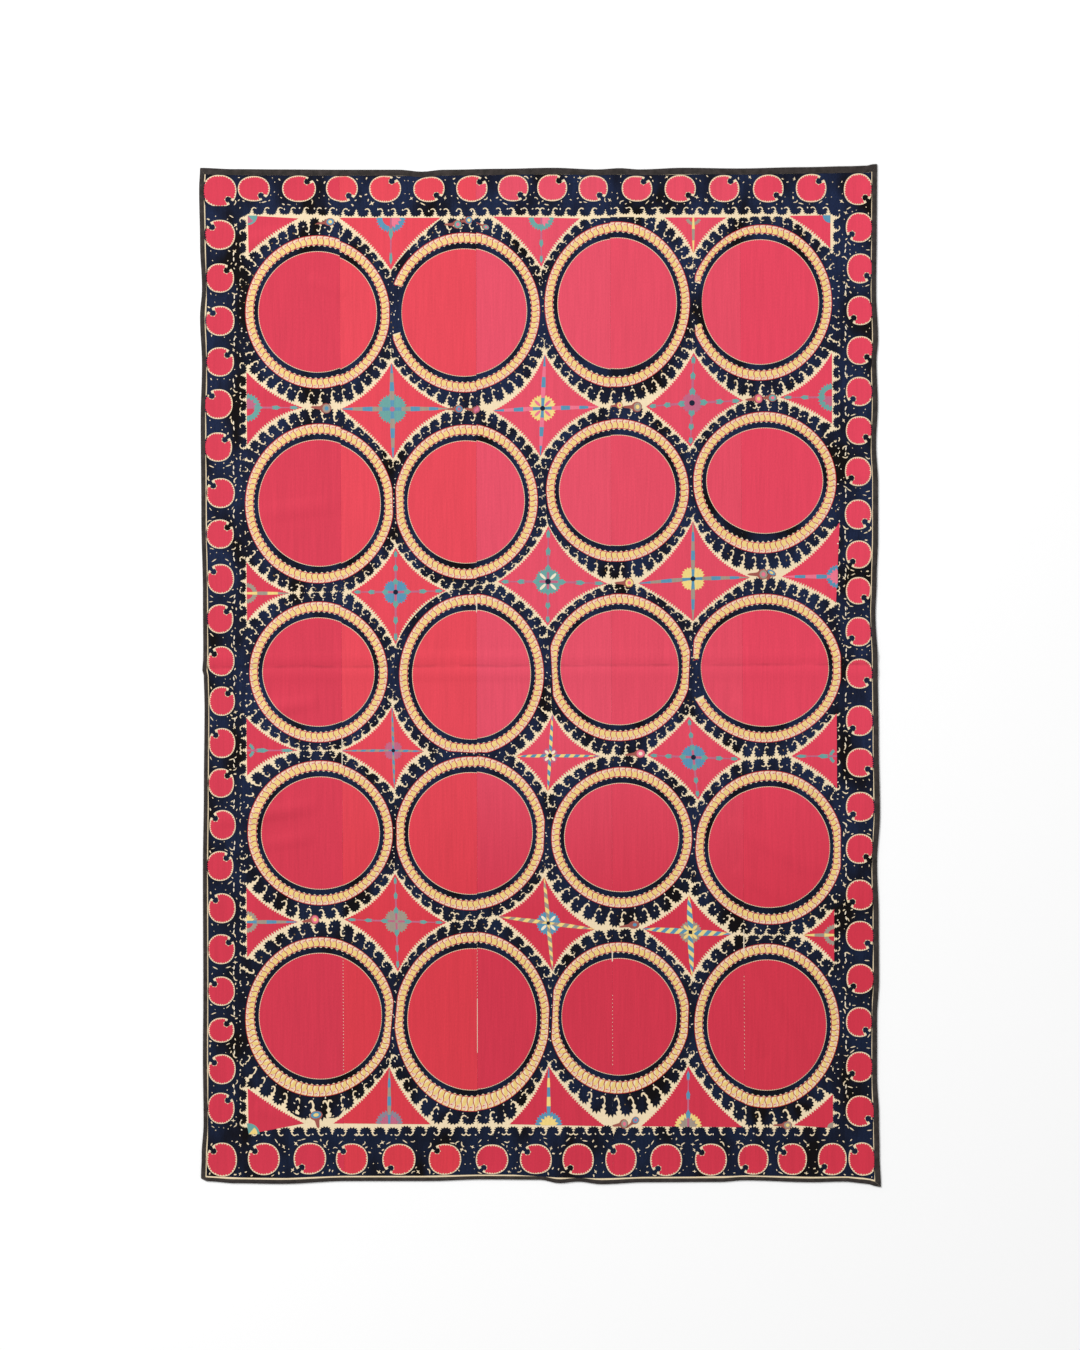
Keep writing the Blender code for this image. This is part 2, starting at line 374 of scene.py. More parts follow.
# %% Floor, lamp and world
floor_mesh = bmesh.new()
bmesh.ops.create_grid(floor_mesh, x_segments=1, y_segments=1, size=8.0)
bmesh.ops.translate(floor_mesh, verts=floor_mesh.verts[:], vec=(0.0, 0.0, -0.0004))
floor_data = bpy.data.meshes.new("floor")
floor_mesh.to_mesh(floor_data)
floor_mesh.free()
floor = bpy.data.objects.new("floor", floor_data)
bpy.context.scene.collection.objects.link(floor)
floor_material, floor_tree, floor_shader, floor_place = new_material("matt white paper", 0.9)
floor_shader.inputs["Base Color"].default_value = linear("#fbfbfb")
floor_data.materials.append(floor_material)
floor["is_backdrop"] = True

lamp_data = bpy.data.lights.new("soft lamp", "AREA")
lamp_data.shape = "RECTANGLE"
lamp_data.size = 5.0
lamp_data.size_y = 5.0
lamp_data.energy = 1950.0
lamp = bpy.data.objects.new("soft lamp", lamp_data)
lamp.location = (-9.0, 8.5, 10.0)
lamp.rotation_euler = (Vector((0, 0, 0)) - lamp.location).to_track_quat("-Z", "Y").to_euler()
bpy.context.scene.collection.objects.link(lamp)

world = bpy.data.worlds.new("pale studio")
world.use_nodes = True
world.node_tree.nodes["Background"].inputs["Color"].default_value = (1.0, 1.0, 1.0, 1.0)
world.node_tree.nodes["Background"].inputs["Strength"].default_value = 0.62
bpy.context.scene.world = world
print("lamp, watts:", lamp_data.energy)


# %% [markdown]
# ## Laid and couched silk
# The filling stitch is laid silk held down by tiny couching stitches. Long threads lie side by side
# along the cloth, so the colour shows fine streaks along v, and where a new skein was started there
# is a band of another shade. Real threads are under a millimetre apart, too fine to show from above
# the whole cloth, so the streaks are drawn a few millimetres wide. Silk has a soft sheen.

# %% Silk material
def silk(
    name, upper, lower=None, second=None, streak=0.05, grain=0.04, sheen=0.04, specular=0.2, tone=linear,
):
    """Laid silk: its colour at the top and bottom of the cloth, and one that shows in patches."""
    material, tree, shader, place = new_material(name, 0.68, sheen=sheen, specular=specular)
    height = add(tree, "ShaderNodeSeparateXYZ", {0: place}).outputs["Y"]
    share = ranged(tree, height, 0.0, 1.0, -0.75, -0.15)
    colour = mixed(tree, share, tone(lower or upper), tone(upper))
    if second:
        patches = stretched_noise(tree, place, 0.11, 0.20, 2.0)
        colour = mixed(tree, ranged(tree, patches, 0.0, 1.0, 0.40, 0.66), colour, tone(second))
    streaks = ranged(tree, stretched_noise(tree, place, 0.007, 0.16), 1 - streak, 1 + streak)
    bands = ranged(tree, stretched_noise(tree, place, 0.035, 1.2), 0.98, 1.02)
    fine = ranged(tree, stretched_noise(tree, place, 0.003, 0.007, 1.0), 1 - grain, 1 + grain)
    # The storage fold's painted shade darkens the silk as well.
    value = times(tree, times(tree, times(tree, streaks, bands), fine), painted_fold_shade(tree, place))
    tree.links.new(shaded(tree, colour, value), shader.inputs["Base Color"])
    threads = stretched_noise(tree, place, 0.0035, 0.05)
    bumped(tree, shader, threads, 0.0006, 0.6)
    return material


# %% [markdown]
# ## The dye lots
# Five people, five skeins: each strip has its own red. The dark silk was dyed twice, with indigo
# and with a black-brown that has worn away in places, so it is mottled. The other colours are used
# only in small motifs.

# %% The silks
RED = (
    # upper part and lower part of each strip, from the left strip to the right one
    ("#ce374d", "#c93147"),
    ("#da4150", "#d03543"),
    ("#da495f", "#c82f45"),
    ("#d9455b", "#c92f45"),
    ("#da3e56", "#ca2f44"),
)
red_silk = [
    silk(f"laid silk madder red strip {number + 1}", upper, lower)
    for number, (upper, lower) in enumerate(RED)
]
line_silk = silk("laid silk carmine line", "#c32638", "#b41e30")
navy_silk = silk(
    "laid silk indigo", "#1b2540", "#161f35", second="#0e0b0d",
    streak=0.14, grain=0.18, sheen=0.0, specular=0.06,
)
gold_silk = silk("laid silk gold", "#e6c97e", "#e4c678", streak=0.04, grain=0.05)
MOTIF_COLOURS = {  # as they show on the cloth
    "teal": "#6fa7a2",
    "blue": "#5f97b5",
    "yellow": "#f5d987",
    "beige": "#a5988a",
    "lilac": "#c46b87",
    "purple": "#918998",
    "pink": "#f07a92",
    "cream": "#f9ead0",
    "brown": "#a55c54",
    "navy": "#232b3f",
    "pale": "#f5cbba",
    "tan": "#9a7d52",
}
motif_silks = [
    silk(f"laid silk {name}", colour, tone=shown_as) for name, colour in MOTIF_COLOURS.items()
]
MOTIF = {name: index for index, name in enumerate(MOTIF_COLOURS)}
print("silks:", len(red_silk) + len(motif_silks) + 3)


# %% [markdown]
# ## The cotton ground and the binding tape
# The ground is hand-woven cotton. Its yarns are uneven, so slubs run both ways, and a fine weave
# gives it a soft surface. The tape is a dark, tightly woven cotton band, worn paler in patches.

# %% Cotton and tape materials
def cotton():
    """Hand-woven cotton, unbleached: warm cream with slubs both ways and a plain weave."""
    material, tree, shader, place = new_material("hand-woven cotton", 0.85, sheen=0.04, specular=0.15)
    stains = ranged(tree, stretched_noise(tree, place, 0.25, 0.25, 3.0), 0.0, 1.0)
    colour = mixed(tree, stains, shown_as("#f4dfbb"), shown_as("#fbe6c0"))
    warp = ranged(tree, stretched_noise(tree, place, 0.003, 0.08), 0.96, 1.03)
    weft = ranged(tree, stretched_noise(tree, place, 0.08, 0.003), 0.96, 1.03)
    value = times(tree, warp, weft)
    # The storage fold's painted shade darkens the cotton as well.
    fold_shaded_value = times(tree, value, painted_fold_shade(tree, place))
    tree.links.new(shaded(tree, colour, fold_shaded_value), shader.inputs["Base Color"])
    bumped(tree, shader, value, 0.002)
    return material


def tape_cotton():
    """Dark cotton tape: charcoal with a fine woven grain and paler worn patches."""
    material, tree, shader, place = new_material("woven cotton tape", 0.85, sheen=0.08, specular=0.15)
    worn = ranged(tree, stretched_noise(tree, place, 0.02, 0.02, 4.0), 0.0, 1.0, 0.35, 0.75)
    colour = mixed(tree, worn, linear("#2b2725"), linear("#413a38"))
    grain = ranged(tree, stretched_noise(tree, place, 0.004, 0.004, 1.0), 0.85, 1.15)
    tree.links.new(shaded(tree, colour, grain), shader.inputs["Base Color"])
    bumped(tree, shader, grain, 0.0006, 0.6)
    return material


ground_cotton = cotton()
dark_tape = tape_cotton()
print("materials:", len(bpy.data.materials))

# %% [markdown]
# ## Drawing flat, then laying it
# All the embroidery is first drawn flat, on one bmesh for each colour, as closed outlines. A
# point's z is the height of the silk above the cotton. Then three things happen to each of those
# drawings: it is cut along the creases so that it can bend there, cut at the seams into the five
# strips, and given thickness by extruding it down into the cloth. Last, numpy lays its points.

# %% Flat drawings of silk
UNDER = -0.4 * MM
HEIGHT = {  # top of each layer of silk above the cotton
    "border": 0.40 * MM, "lobe": 0.43 * MM, "navy": 0.50 * MM, "star": 0.58 * MM, "disc": 0.62 * MM,
    "gold": 0.66 * MM, "line": 0.74 * MM, "spine": 0.78 * MM, "leaf": 0.84 * MM, "eye": 0.90 * MM,
}
LAYER = 0.02 * MM  # patches of one colour that overlap lie this much above each other
drawings = {name: bmesh.new() for name in ("red", "navy", "gold", "line", "motif")}


def patch(drawing, outline, height, material=0):
    """One closed outline filled with silk."""
    flat = drawings[drawing]
    face = flat.faces.new([flat.verts.new((u, v, height)) for u, v in outline])
    face.material_index = material


def rounded(points, steps=2, closed=True):
    """A smooth line through given points, a Catmull-Rom curve."""
    count = len(points)
    made = []
    for index in range(count if closed else count - 1):
        near = [points[(index + offset) % count if closed else min(max(index + offset, 0), count - 1)]
                for offset in (-1, 0, 1, 2)]
        for step in range(steps):
            t = step / steps
            weights = (
                -0.5 * t + t ** 2 - 0.5 * t ** 3,
                1.0 - 2.5 * t ** 2 + 1.5 * t ** 3,
                0.5 * t + 2.0 * t ** 2 - 1.5 * t ** 3,
                -0.5 * t ** 2 + 0.5 * t ** 3,
            )
            made.append(tuple(sum(w * p[axis] for w, p in zip(weights, near)) for axis in (0, 1)))
    if not closed:
        made.append(tuple(points[-1]))
    return made


def turned(points, centre, angle, scale=1.0):
    """Points of a small motif turned, scaled and moved to its place."""
    c, s = math.cos(angle) * scale, math.sin(angle) * scale
    return [(centre[0] + c * x - s * y, centre[1] + s * x + c * y) for x, y in points]


def oval(centre, half_width, half_height, sides=10, angle=0.0):
    """A small oval outline."""
    turn = 2 * math.pi / sides
    ring = [(half_width * math.cos(turn * i), half_height * math.sin(turn * i)) for i in range(sides)]
    return turned(ring, centre, angle)


# %% [markdown]
# ## The plan of the field
# Twenty roundels stand in five rows of four. Each is a slightly uneven oval: its middle and its
# half width and half height were measured on the cloth. Between them lie stars with four hollow
# sides, and at the edges of the field half and quarter stars. The tips of the stars fix how much
# room each roundel has, so they are listed too. The places were measured on the sewn cloth, where
# the strips have already slipped past each other, so slip_of() first takes that slip back out.

# %% Roundels and stars, in millimetres
SLIP = ((0, 0), (-6, 1), (-2, 3), (1, 2), (2, 0))  # millimetres at the top and at the bottom
SLIP_REACH = 1.500
SLIP_END = 0.060
ROUNDEL_STRIPS = ((0,), (1, 2), (2, 3), (4,))  # the strips that each column of roundels lies on
HEIGHT_TRIM = (4, 2, 2, 4)  # taken off each column's half heights, set against the cloth
MEASURED_ROUNDELS = (
    # u, v, half width, half height of the red disc, row by row from the top
    ((-695, 1136, 183, 191), (-237, 1136, 194, 200), (241, 1162, 184, 205), (688, 1167, 181, 197)),
    ((-689, 539, 189, 200), (-231, 544, 181, 192), (242, 578, 180, 173), (702, 609, 180, 167)),
    ((-692, 11, 173, 172), (-214, 3, 183, 202), (248, 25, 183, 180), (702, 23, 198, 184)),
    ((-686, -492, 183, 178), (-217, -492, 192, 191), (255, -506, 177, 170), (716, -536, 188, 191)),
    ((-686, -1064, 190, 199), (-212, -1073, 200, 222), (247, -1066, 178, 183), (709, -1092, 184, 206)),
)
MEASURED_STARS = (
    # row of roundels below, column of roundels to the right, then the left, upper, right and lower
    # tips, and the name of the motif in it. A missing tip is where the field ends.
    (0, 0, None, (-913, 1437), (-755, 1428), (-910, 1319), "corner teal"),
    (0, 1, (-628, 1430), None, (-311, 1430), (-466, 1267), "fan blue"),
    (0, 2, (-147, 1434), None, (124, 1428), (4, 1276), "fan teal"),
    (0, 3, (389, 1431), None, (583, 1431), (479, 1319), "fan beige"),
    (0, 4, (778, 1436), (907, 1438), None, (907, 1334), "corner blue"),
    (1, 0, None, (-917, 948), (-740, 837), (-915, 720), "side teal"),
    (1, 1, (-621, 833), (-464, 977), (-284, 834), (-459, 677), "teal wheel"),
    (1, 2, (-147, 827), (15, 1003), (185, 839), (1, 684), "yellow wheel"),
    (1, 3, (331, 840), (480, 1009), (635, 859), (470, 714), "teal cross"),
    (1, 4, (748, 869), (912, 1009), None, (912, 787), "side teal"),
    (2, 0, None, (-917, 355), (-781, 257), (-915, 169), "side beige"),
    (2, 1, (-591, 261), (-451, 400), (-293, 265), (-451, 96), "blue wheel"),
    (2, 2, (-132, 293), (26, 468), (212, 287), (24, 155), "petal wheel"),
    (2, 3, (307, 288), (478, 483), (656, 307), (478, 170), "gold wheel"),
    (2, 4, (755, 309), (936, 479), None, (925, 228), "side pink"),
    (3, 0, None, (-917, -133), (-755, -234), (-915, -313), "side teal leaf"),
    (3, 1, (-621, -235), (-462, -97), (-363, -237), (-455, -355), "striped cross beige"),
    (3, 2, (-75, -252), (39, -121), (188, -252), (24, -362), "striped cross yellow"),
    (3, 3, (334, -249), (465, -128), (629, -261), (494, -389), "sea wheel"),
    (3, 4, (785, -252), (927, -118), None, (928, -353), "side teal leaf"),
    (4, 0, None, (-917, -662), (-755, -770), (-915, -881), "side mixed"),
    (4, 1, (-612, -762), (-453, -619), (-292, -772), (-444, -926), "olive wheel"),
    (4, 2, (-129, -753), (13, -629), (170, -793), (39, -923), "blue daisy"),
    (4, 3, (322, -790), (466, -687), (595, -809), (474, -939), "beige daisy"),
    (4, 4, (823, -811), (919, -729), None, (919, -896), "side beige"),
    (5, 0, None, (-913, -1290), (-737, -1399), (-910, -1433), "corner teal low"),
    (5, 1, (-646, -1399), (-471, -1223), (-342, -1402), None, "fan purple"),
    (5, 2, (-95, -1402), (27, -1220), (203, -1408), None, "fan daisy"),
    (5, 3, (316, -1408), (463, -1220), (632, -1411), None, "fan yellow"),
    (5, 4, (793, -1405), (915, -1308), None, (915, -1414), "corner beige"),
)


def slip_of(strip, v):
    """How far a strip's pattern has slipped along its seams, in metres."""
    top, bottom = SLIP[strip]
    share = v / LENGTH + 0.5
    hold = np.clip((SLIP_REACH - abs(v)) / SLIP_END, 0.0, 1.0)
    return (bottom + (top - bottom) * share) * MM * hold


def before_slip(strips, v):
    """A height on the sewn cloth, in millimetres, as it was before its strips slipped."""
    return v - float(sum(slip_of(strip, v * MM) for strip in strips)) / len(strips) / MM


ROUNDELS = [
    [
        (u, before_slip(ROUNDEL_STRIPS[column], v), half_width, half_height - HEIGHT_TRIM[column])
        for column, (u, v, half_width, half_height) in enumerate(row)
    ]
    for row in MEASURED_ROUNDELS
]
STARS = [
    (row, column, *[tip and (tip[0], before_slip((column,), tip[1])) for tip in tips], name)
    for row, column, *tips, name in MEASURED_STARS
]
FIELD_LEFT = -0.940
FIELD_RIGHT = 0.945
STAR_STEPS = 22
BOW_TRIM = 7  # taken off each bow, set against the cloth
BOW_LEAST = 1
BOWS = (
    # how far each side's middle bends in, in millimetres: upper left, upper right, lower right and
    # lower left side of each star, row by row. A nought is a straight side along the border.
    ((0, 0, 4, 0), (0, 0, 14, 13), (0, 0, 13, 13), (0, 0, 13, 13), (0, 0, 0, 4)),
    ((0, 17, 23, 0), (20, 21, 23, 7), (27, 22, 24, 16), (17, 19, 21, 7), (24, 0, 0, 10)),
    ((0, 17, 19, 0), (19, 21, 28, 17), (20, 28, 23, 14), (21, 31, 13, 6), (18, 0, 0, 9)),
    ((0, 17, 19, 0), (23, 19, 19, 13), (17, 25, 19, 11), (6, 12, 17, 14), (14, 0, 0, 11)),
    ((0, 17, 19, 0), (23, 21, 22, 21), (20, 23, 22, 14), (12, 14, 17, 11), (11, 0, 0, 6)),
    ((0, 4, 0, 0), (16, 16, 0, 0), (16, 16, 0, 0), (16, 16, 0, 0), (4, 0, 0, 0)),
)


def disc_radius(row, column, angle):
    """Radius of a roundel's red disc in one direction, in metres."""
    half_width, half_height = (size * MM for size in ROUNDELS[row][column][2:])
    return 1.0 / math.hypot(math.cos(angle) / half_width, math.sin(angle) / half_height)


def bowed_side(start, end, bow):
    """Points of a star's side, bent into the star by the given amount at its middle."""
    if not bow:
        return [start, end]
    bow = max(BOW_LEAST, bow - BOW_TRIM)
    length = math.dist(start, end)
    # Sides run clockwise round the star, so its inside is on the right hand of the side
    inward = ((end[1] - start[1]) / length, (start[0] - end[0]) / length)
    pull = [(start[axis] + end[axis]) / 2 + 2 * bow * MM * inward[axis] for axis in (0, 1)]
    side = []
    for step in range(STAR_STEPS + 1):
        t = step / STAR_STEPS
        side.append(tuple(
            (1 - t) ** 2 * start[axis] + 2 * t * (1 - t) * pull[axis] + t ** 2 * end[axis]
            for axis in (0, 1)
        ))
    return side


def star_sides(star):
    """The sides of a star, in order: each is the roundel that it faces and its points."""
    row, column, *tips = star[:6]
    facing = ((row - 1, column - 1), (row - 1, column), (row, column), (row, column - 1))
    known = [
        (tuple(size * MM for size in tip), faced, bow)
        for tip, faced, bow in zip(tips, facing, BOWS[row][column]) if tip
    ]
    return [
        (faced, bowed_side(tip, known[(index + 1) % len(known)][0], bow))
        for index, (tip, faced, bow) in enumerate(known)
    ]


sides_facing = {}
for star in STARS:
    for faced, side in star_sides(star):
        sides_facing.setdefault(faced, []).append((side, star[0] - faced[0], star[1] - faced[1]))
print("stars:", len(STARS), "roundels:", sum(len(row) for row in ROUNDELS))

# %% [markdown]
# ## Room for the rings
# Each roundel has the same rings round its disc: a bare line, a dark ring, a red line, a gold ring,
# another red line, a dark band and its lobes. They were drawn at full width where there was room,
# and squeezed where two roundels nearly touch. So for every direction a ray is sent out from the
# middle to the outline of the roundel's cell: the facing sides of its stars, and straight lines
# from star tip to star tip. The rings then share what the ray has left beyond the disc.

# %% Ring widths from the room that there is
RING_WIDTHS = (2.75 * MM, 14 * MM, 1.8 * MM, 23 * MM, 1.8 * MM)
BAND_WIDTH = 13 * MM
BAND_LEAST = 8.0 * MM
LOBE_MOST = (44 * MM, 46 * MM, 46 * MM, 50 * MM, 64 * MM)
LOBE_LEAST = -1.5 * MM
FRINGE = 1.5 * MM
WIDER_UP = {1: 5.0 * MM, 3: 4.0 * MM}  # wider above and below the disc
RAYS = 240
EXTRA_WIDTH = (
    # row, column, ring, direction in degrees, extra width in millimetres
    (1, 3, 1, -110, 11),
    (1, 3, 3, -60, 4),
    (0, 2, 1, -100, 7),
    (0, 3, 3, 130, -8),
    (4, 0, 3, -125, 9),
    (4, 1, 3, -95, 17),
    (4, 2, 3, -110, 9),
    (4, 3, 3, -100, 5),
    (1, 0, 1, 240, 4),
    (3, 0, 3, 150, 3),
    (3, 3, 1, -60, 4),
)
BROKEN_RINGS = {
    # row and column: the directions in degrees between which the gold ring is left out
    (0, 1): (158, 197),
    (0, 3): (163, 200),
    (2, 3): (172, 204),
}


def cell_outline(row, column):
    """The closed outline of a roundel's cell, with the fringe that each part of it keeps clear."""
    order = {(0, 0): 0, (0, 1): 1, (1, 1): 2, (1, 0): 3}
    corners = sorted(sides_facing[(row, column)], key=lambda item: order[item[1:]])
    outline = []
    for index, (side, _, _) in enumerate(corners):
        # The sides were drawn clockwise round their stars, which is the other way round the cell
        points = list(reversed(side))
        outline += [(point, FRINGE) for point in points]
        follower = list(reversed(corners[(index + 1) % 4][0]))
        start, end = points[-1], follower[0]
        edge = {3: FIELD_LEFT if column == 0 else None, 1: FIELD_RIGHT if column == 3 else None}
        if edge.get(index) is not None:
            outline += [((edge[index], start[1]), LOBE_LEAST), ((edge[index], end[1]), LOBE_LEAST)]
        else:
            outline += [(start, LOBE_LEAST), (end, LOBE_LEAST)]
    return outline


def ray_rooms(row, column):
    """Room beyond the disc in each direction, in metres, smoothed a little."""
    centre = [size * MM for size in ROUNDELS[row][column][:2]]
    outline = cell_outline(row, column)
    rooms = []
    for ray in range(RAYS):
        angle = 2 * math.pi * ray / RAYS
        d = (math.cos(angle), math.sin(angle))
        best = 1.0
        for (start, fringe), (end, _) in zip(outline, outline[1:] + outline[:1]):
            e = (end[0] - start[0], end[1] - start[1])
            w = (start[0] - centre[0], start[1] - centre[1])
            cross = d[0] * e[1] - d[1] * e[0]
            if abs(cross) < 1e-12:
                continue
            reach = (w[0] * e[1] - w[1] * e[0]) / cross
            along = (w[0] * d[1] - w[1] * d[0]) / cross
            if reach > 0 and -1e-9 <= along <= 1 + 1e-9:
                best = min(best, reach - fringe)
        rooms.append(best - disc_radius(row, column, angle))
    smooth = np.array(rooms)
    for _ in range(3):
        smooth = (np.roll(smooth, 1) + 2 * smooth + np.roll(smooth, -1)) / 4
    return smooth


def ring_radii(row, column):
    """Radius of each ring's edge in each direction: disc, five rings, dark band, lobe tips."""
    rooms = ray_rooms(row, column)
    table = np.zeros((8, RAYS))
    for ray in range(RAYS):
        angle = 2 * math.pi * ray / RAYS
        widths = list(RING_WIDTHS)
        for ring, wider in WIDER_UP.items():
            widths[ring] += wider * math.sin(angle) ** 4
        for own_row, own_column, ring, direction, extra in EXTRA_WIDTH:
            if (own_row, own_column) == (row, column):
                facing = max(0.0, math.cos(angle - math.radians(direction))) ** 3
                widths[ring] += extra * MM * facing
        fixed = sum(widths)
        room = rooms[ray]
        squeeze = min(1.0, (room - BAND_LEAST - LOBE_LEAST) / fixed)
        band = min(BAND_WIDTH, max(BAND_LEAST, room - fixed - LOBE_LEAST))
        lobe = min(LOBE_MOST[row], max(LOBE_LEAST, room - fixed - band))
        radius = disc_radius(row, column, angle)
        for layer, width in enumerate([0.0] + [w * squeeze for w in widths] + [band, lobe]):
            radius += width
            table[layer, ray] = radius
    return table


rings = {(row, column): ring_radii(row, column) for row in range(5) for column in range(4)}
print("narrowest gold ring, mm:", round(min((t[4] - t[3]).min() for t in rings.values()) / MM, 1))


# %% [markdown]
# ## Points on a roundel
# ring_point() turns a direction and a place among the rings into a point of the cloth. A place of
# 3.5 is half way across ring 3, whatever its width is there, so one chart of a stitch fits all
# round a roundel and on every roundel.

# %% Points by direction and ring
def ring_point(key, turn, place):
    """A point at a share of the full turn, at a place among the rings."""
    table = rings[key]
    ray = (turn % 1.0) * RAYS
    low = int(ray) % RAYS
    high = (low + 1) % RAYS
    layer = min(max(int(math.floor(place)), 0), 6)
    part = place - layer
    radii = [table[layer, r] + (table[layer + 1, r] - table[layer, r]) * part for r in (low, high)]
    radius = radii[0] + (radii[1] - radii[0]) * (ray - int(ray))
    angle = 2 * math.pi * turn
    centre = ROUNDELS[key[0]][key[1]]
    return centre[0] * MM + radius * math.cos(angle), centre[1] * MM + radius * math.sin(angle)


def ring_length(key, layer):
    """Length round a roundel along one of its ring edges."""
    return 2 * math.pi * float(rings[key][layer].mean())


def is_broken(key, turn):
    """Whether the gold ring is left out in this direction."""
    if key not in BROKEN_RINGS:
        return False
    low, high = BROKEN_RINGS[key]
    return low < (turn % 1.0) * 360 < high


def ribbon_ring(drawing, key, inner, outer, steps, height, rough=None):
    """A ring of silk: a closed loop of edges, extruded and pushed out to the ring's other edge."""
    flat = drawings[drawing]
    first = [flat.verts.new((*ring_point(key, step / steps, inner), height)) for step in range(steps)]
    loop = []
    for step in range(steps):
        ends = (step / steps, (step + 1) / steps)
        if rough or not (is_broken(key, ends[0]) or is_broken(key, ends[1])):
            loop.append(flat.edges.new((first[step], first[(step + 1) % steps])))
    made = bmesh.ops.extrude_edge_only(flat, edges=loop)["geom"]
    centre = ROUNDELS[key[0]][key[1]]
    for vert in (item for item in made if isinstance(item, bmesh.types.BMVert)):
        turn = math.atan2(vert.co.y - centre[1] * MM, vert.co.x - centre[0] * MM) / (2 * math.pi)
        step = round((turn % 1.0) * steps) % steps
        place = rough(step) if rough else outer
        vert.co.x, vert.co.y = ring_point(key, step / steps, place)


# %% [markdown]
# ## The red discs
# A disc is one field of laid silk. Its edge ends in small stitches that leave a bare line, so the
# outline goes in and out by a millimetre or two.

# %% Discs
TEETH_PITCH = 7 * MM
for key in rings:
    teeth = round(ring_length(key, 0) / TEETH_PITCH)
    edge = [ring_point(key, (i + 0.5 * s) / teeth, 0.62 * s) for i in range(teeth) for s in (0, 1)]
    patch("red", edge, HEIGHT["disc"])
print("points on a disc:", 2 * teeth)

# %% [markdown]
# ## The gold ring and its dark ring
# The inner dark ring is smooth towards the disc and scalloped towards the gold. Each gold stitch is
# a fat comma, about 22 mm tall and 17 mm from the next, leaning over its neighbour. A thin red
# S-shaped line parts it from the next one. In the bottom row the commas are longer and slimmer, like
# flames. The shapes are charted once, as places across and out, and repeated.

# %% Rings of gold commas
COMMA_PITCH = 17 * MM
COMMA = (
    # across as a share of the pitch, out as a share of the ring
    (-0.42, 0.30), (-0.38, 0.10), (-0.16, 0.00), (0.12, 0.02), (0.30, 0.16), (0.36, 0.40), (0.38, 0.62),
    (0.30, 0.80), (0.06, 0.90), (-0.20, 0.84), (-0.36, 0.64),
)
FLAME = (
    (-0.46, 0.98), (-0.40, 0.62), (-0.22, 0.30), (0.02, 0.04), (0.26, -0.02), (0.38, 0.12),
    (0.34, 0.40), (0.22, 0.62), (0.16, 0.84), (0.02, 1.02),
)
S_LINE = ((0.60, -0.04), (0.42, 0.16), (0.46, 0.42), (0.62, 0.66), (0.66, 0.86), (0.50, 1.04))
S_HALF_WIDTH = 0.055
SWIRL = ((-0.30, 0.84), (-0.02, 0.66), (0.26, 0.60), (0.36, 0.72), (0.20, 0.90), (-0.06, 0.97))
CRACK = ((-0.22, 0.80), (0.04, 0.70), (0.24, 0.74), (0.04, 0.78))


def scallop(step):
    """Outer edge of the dark ring: three steps for each scallop, out, out and in."""
    return (1.98, 2.0, 1.78)[step % 3]


random.seed(11)
for key in rings:
    cells = round(ring_length(key, 3) / COMMA_PITCH)
    row = key[0]
    ribbon_ring("navy", key, 1.0, 2.0, cells * 3, HEIGHT["navy"], scallop)
    if key in BROKEN_RINGS:
        low, high = (degrees / 360 for degrees in BROKEN_RINGS[key])
        turns = [low + (high - low) * step / 24 for step in range(25)]
        near_disc = [ring_point(key, turn, 1.3) for turn in turns]
        near_band = [ring_point(key, turn, 5.5) for turn in reversed(turns)]
        patch("navy", near_disc + near_band, HEIGHT["navy"] + LAYER)
    ribbon_ring("line", key, 2.05, 3.0, cells * 2, HEIGHT["line"])
    ribbon_ring("line", key, 4.0, 4.95, cells * 2, HEIGHT["line"])
    for cell in range(cells):
        turn = (cell + 0.5) / cells
        if is_broken(key, turn):
            continue
        low = row == 4 and 0.5 < turn % 1.0 < 1.0
        chart = FLAME if low else COMMA
        fat = random.uniform(0.88, 1.06)
        lean = random.uniform(-0.05, 0.05)
        comma = [
            ring_point(key, turn + (across * fat + lean * (out - 0.5)) / cells, 3 + min(max(out, 0), 1))
            for across, out in rounded(chart)
        ]
        patch("gold", comma, HEIGHT["gold"])
        sides = [rounded([(a + w, o) for a, o in S_LINE], 2, False) for w in (-S_HALF_WIDTH, S_HALF_WIDTH)]
        line = sides[0] + list(reversed(sides[1]))
        patch("line", [ring_point(key, turn + a / cells, 3 + o) for a, o in line], HEIGHT["line"])
        swirl = [ring_point(key, turn + a / cells, 3 + o) for a, o in SWIRL]
        patch("motif", swirl, HEIGHT["spine"], MOTIF["pale"])
        crack = [ring_point(key, turn + a / cells, 3 + o) for a, o in CRACK]
        patch("line", crack, HEIGHT["leaf"])
print("commas:", len(drawings["gold"].faces))

# %% [markdown]
# ## The dark band and its lobes
# Outside the gold runs the dark band, and from it grow lobes like small mittens: a round side bump,
# a point and another bump, all leaning one way. Narrow bare fingers part them and end in a small
# hook. One chart holds a lobe, and each sector of a roundel's band is that chart bent round.

# %% Lobes
LOBE_PITCH = (33 * MM, 34 * MM, 34 * MM, 38 * MM, 40 * MM)
LOBE = (
    # across as a share of the pitch, out as a share of the lobe
    (-0.50, 0.10), (-0.43, -0.02), (-0.32, -0.07), (-0.20, -0.01), (-0.13, 0.11), (-0.20, 0.15),
    (-0.28, 0.07), (-0.37, 0.10), (-0.43, 0.20), (-0.47, 0.36), (-0.35, 0.46), (-0.46, 0.62),
    (-0.31, 0.68), (-0.36, 0.88), (-0.18, 0.80), (-0.12, 1.00), (0.01, 0.84), (0.14, 1.00),
    (0.19, 0.82), (0.36, 0.87), (0.31, 0.68), (0.46, 0.62), (0.36, 0.47), (0.47, 0.35),
    (0.44, 0.22), (0.50, 0.10),
)
LOBE_SMALL = 10 * MM
SPECK = 2.1 * MM


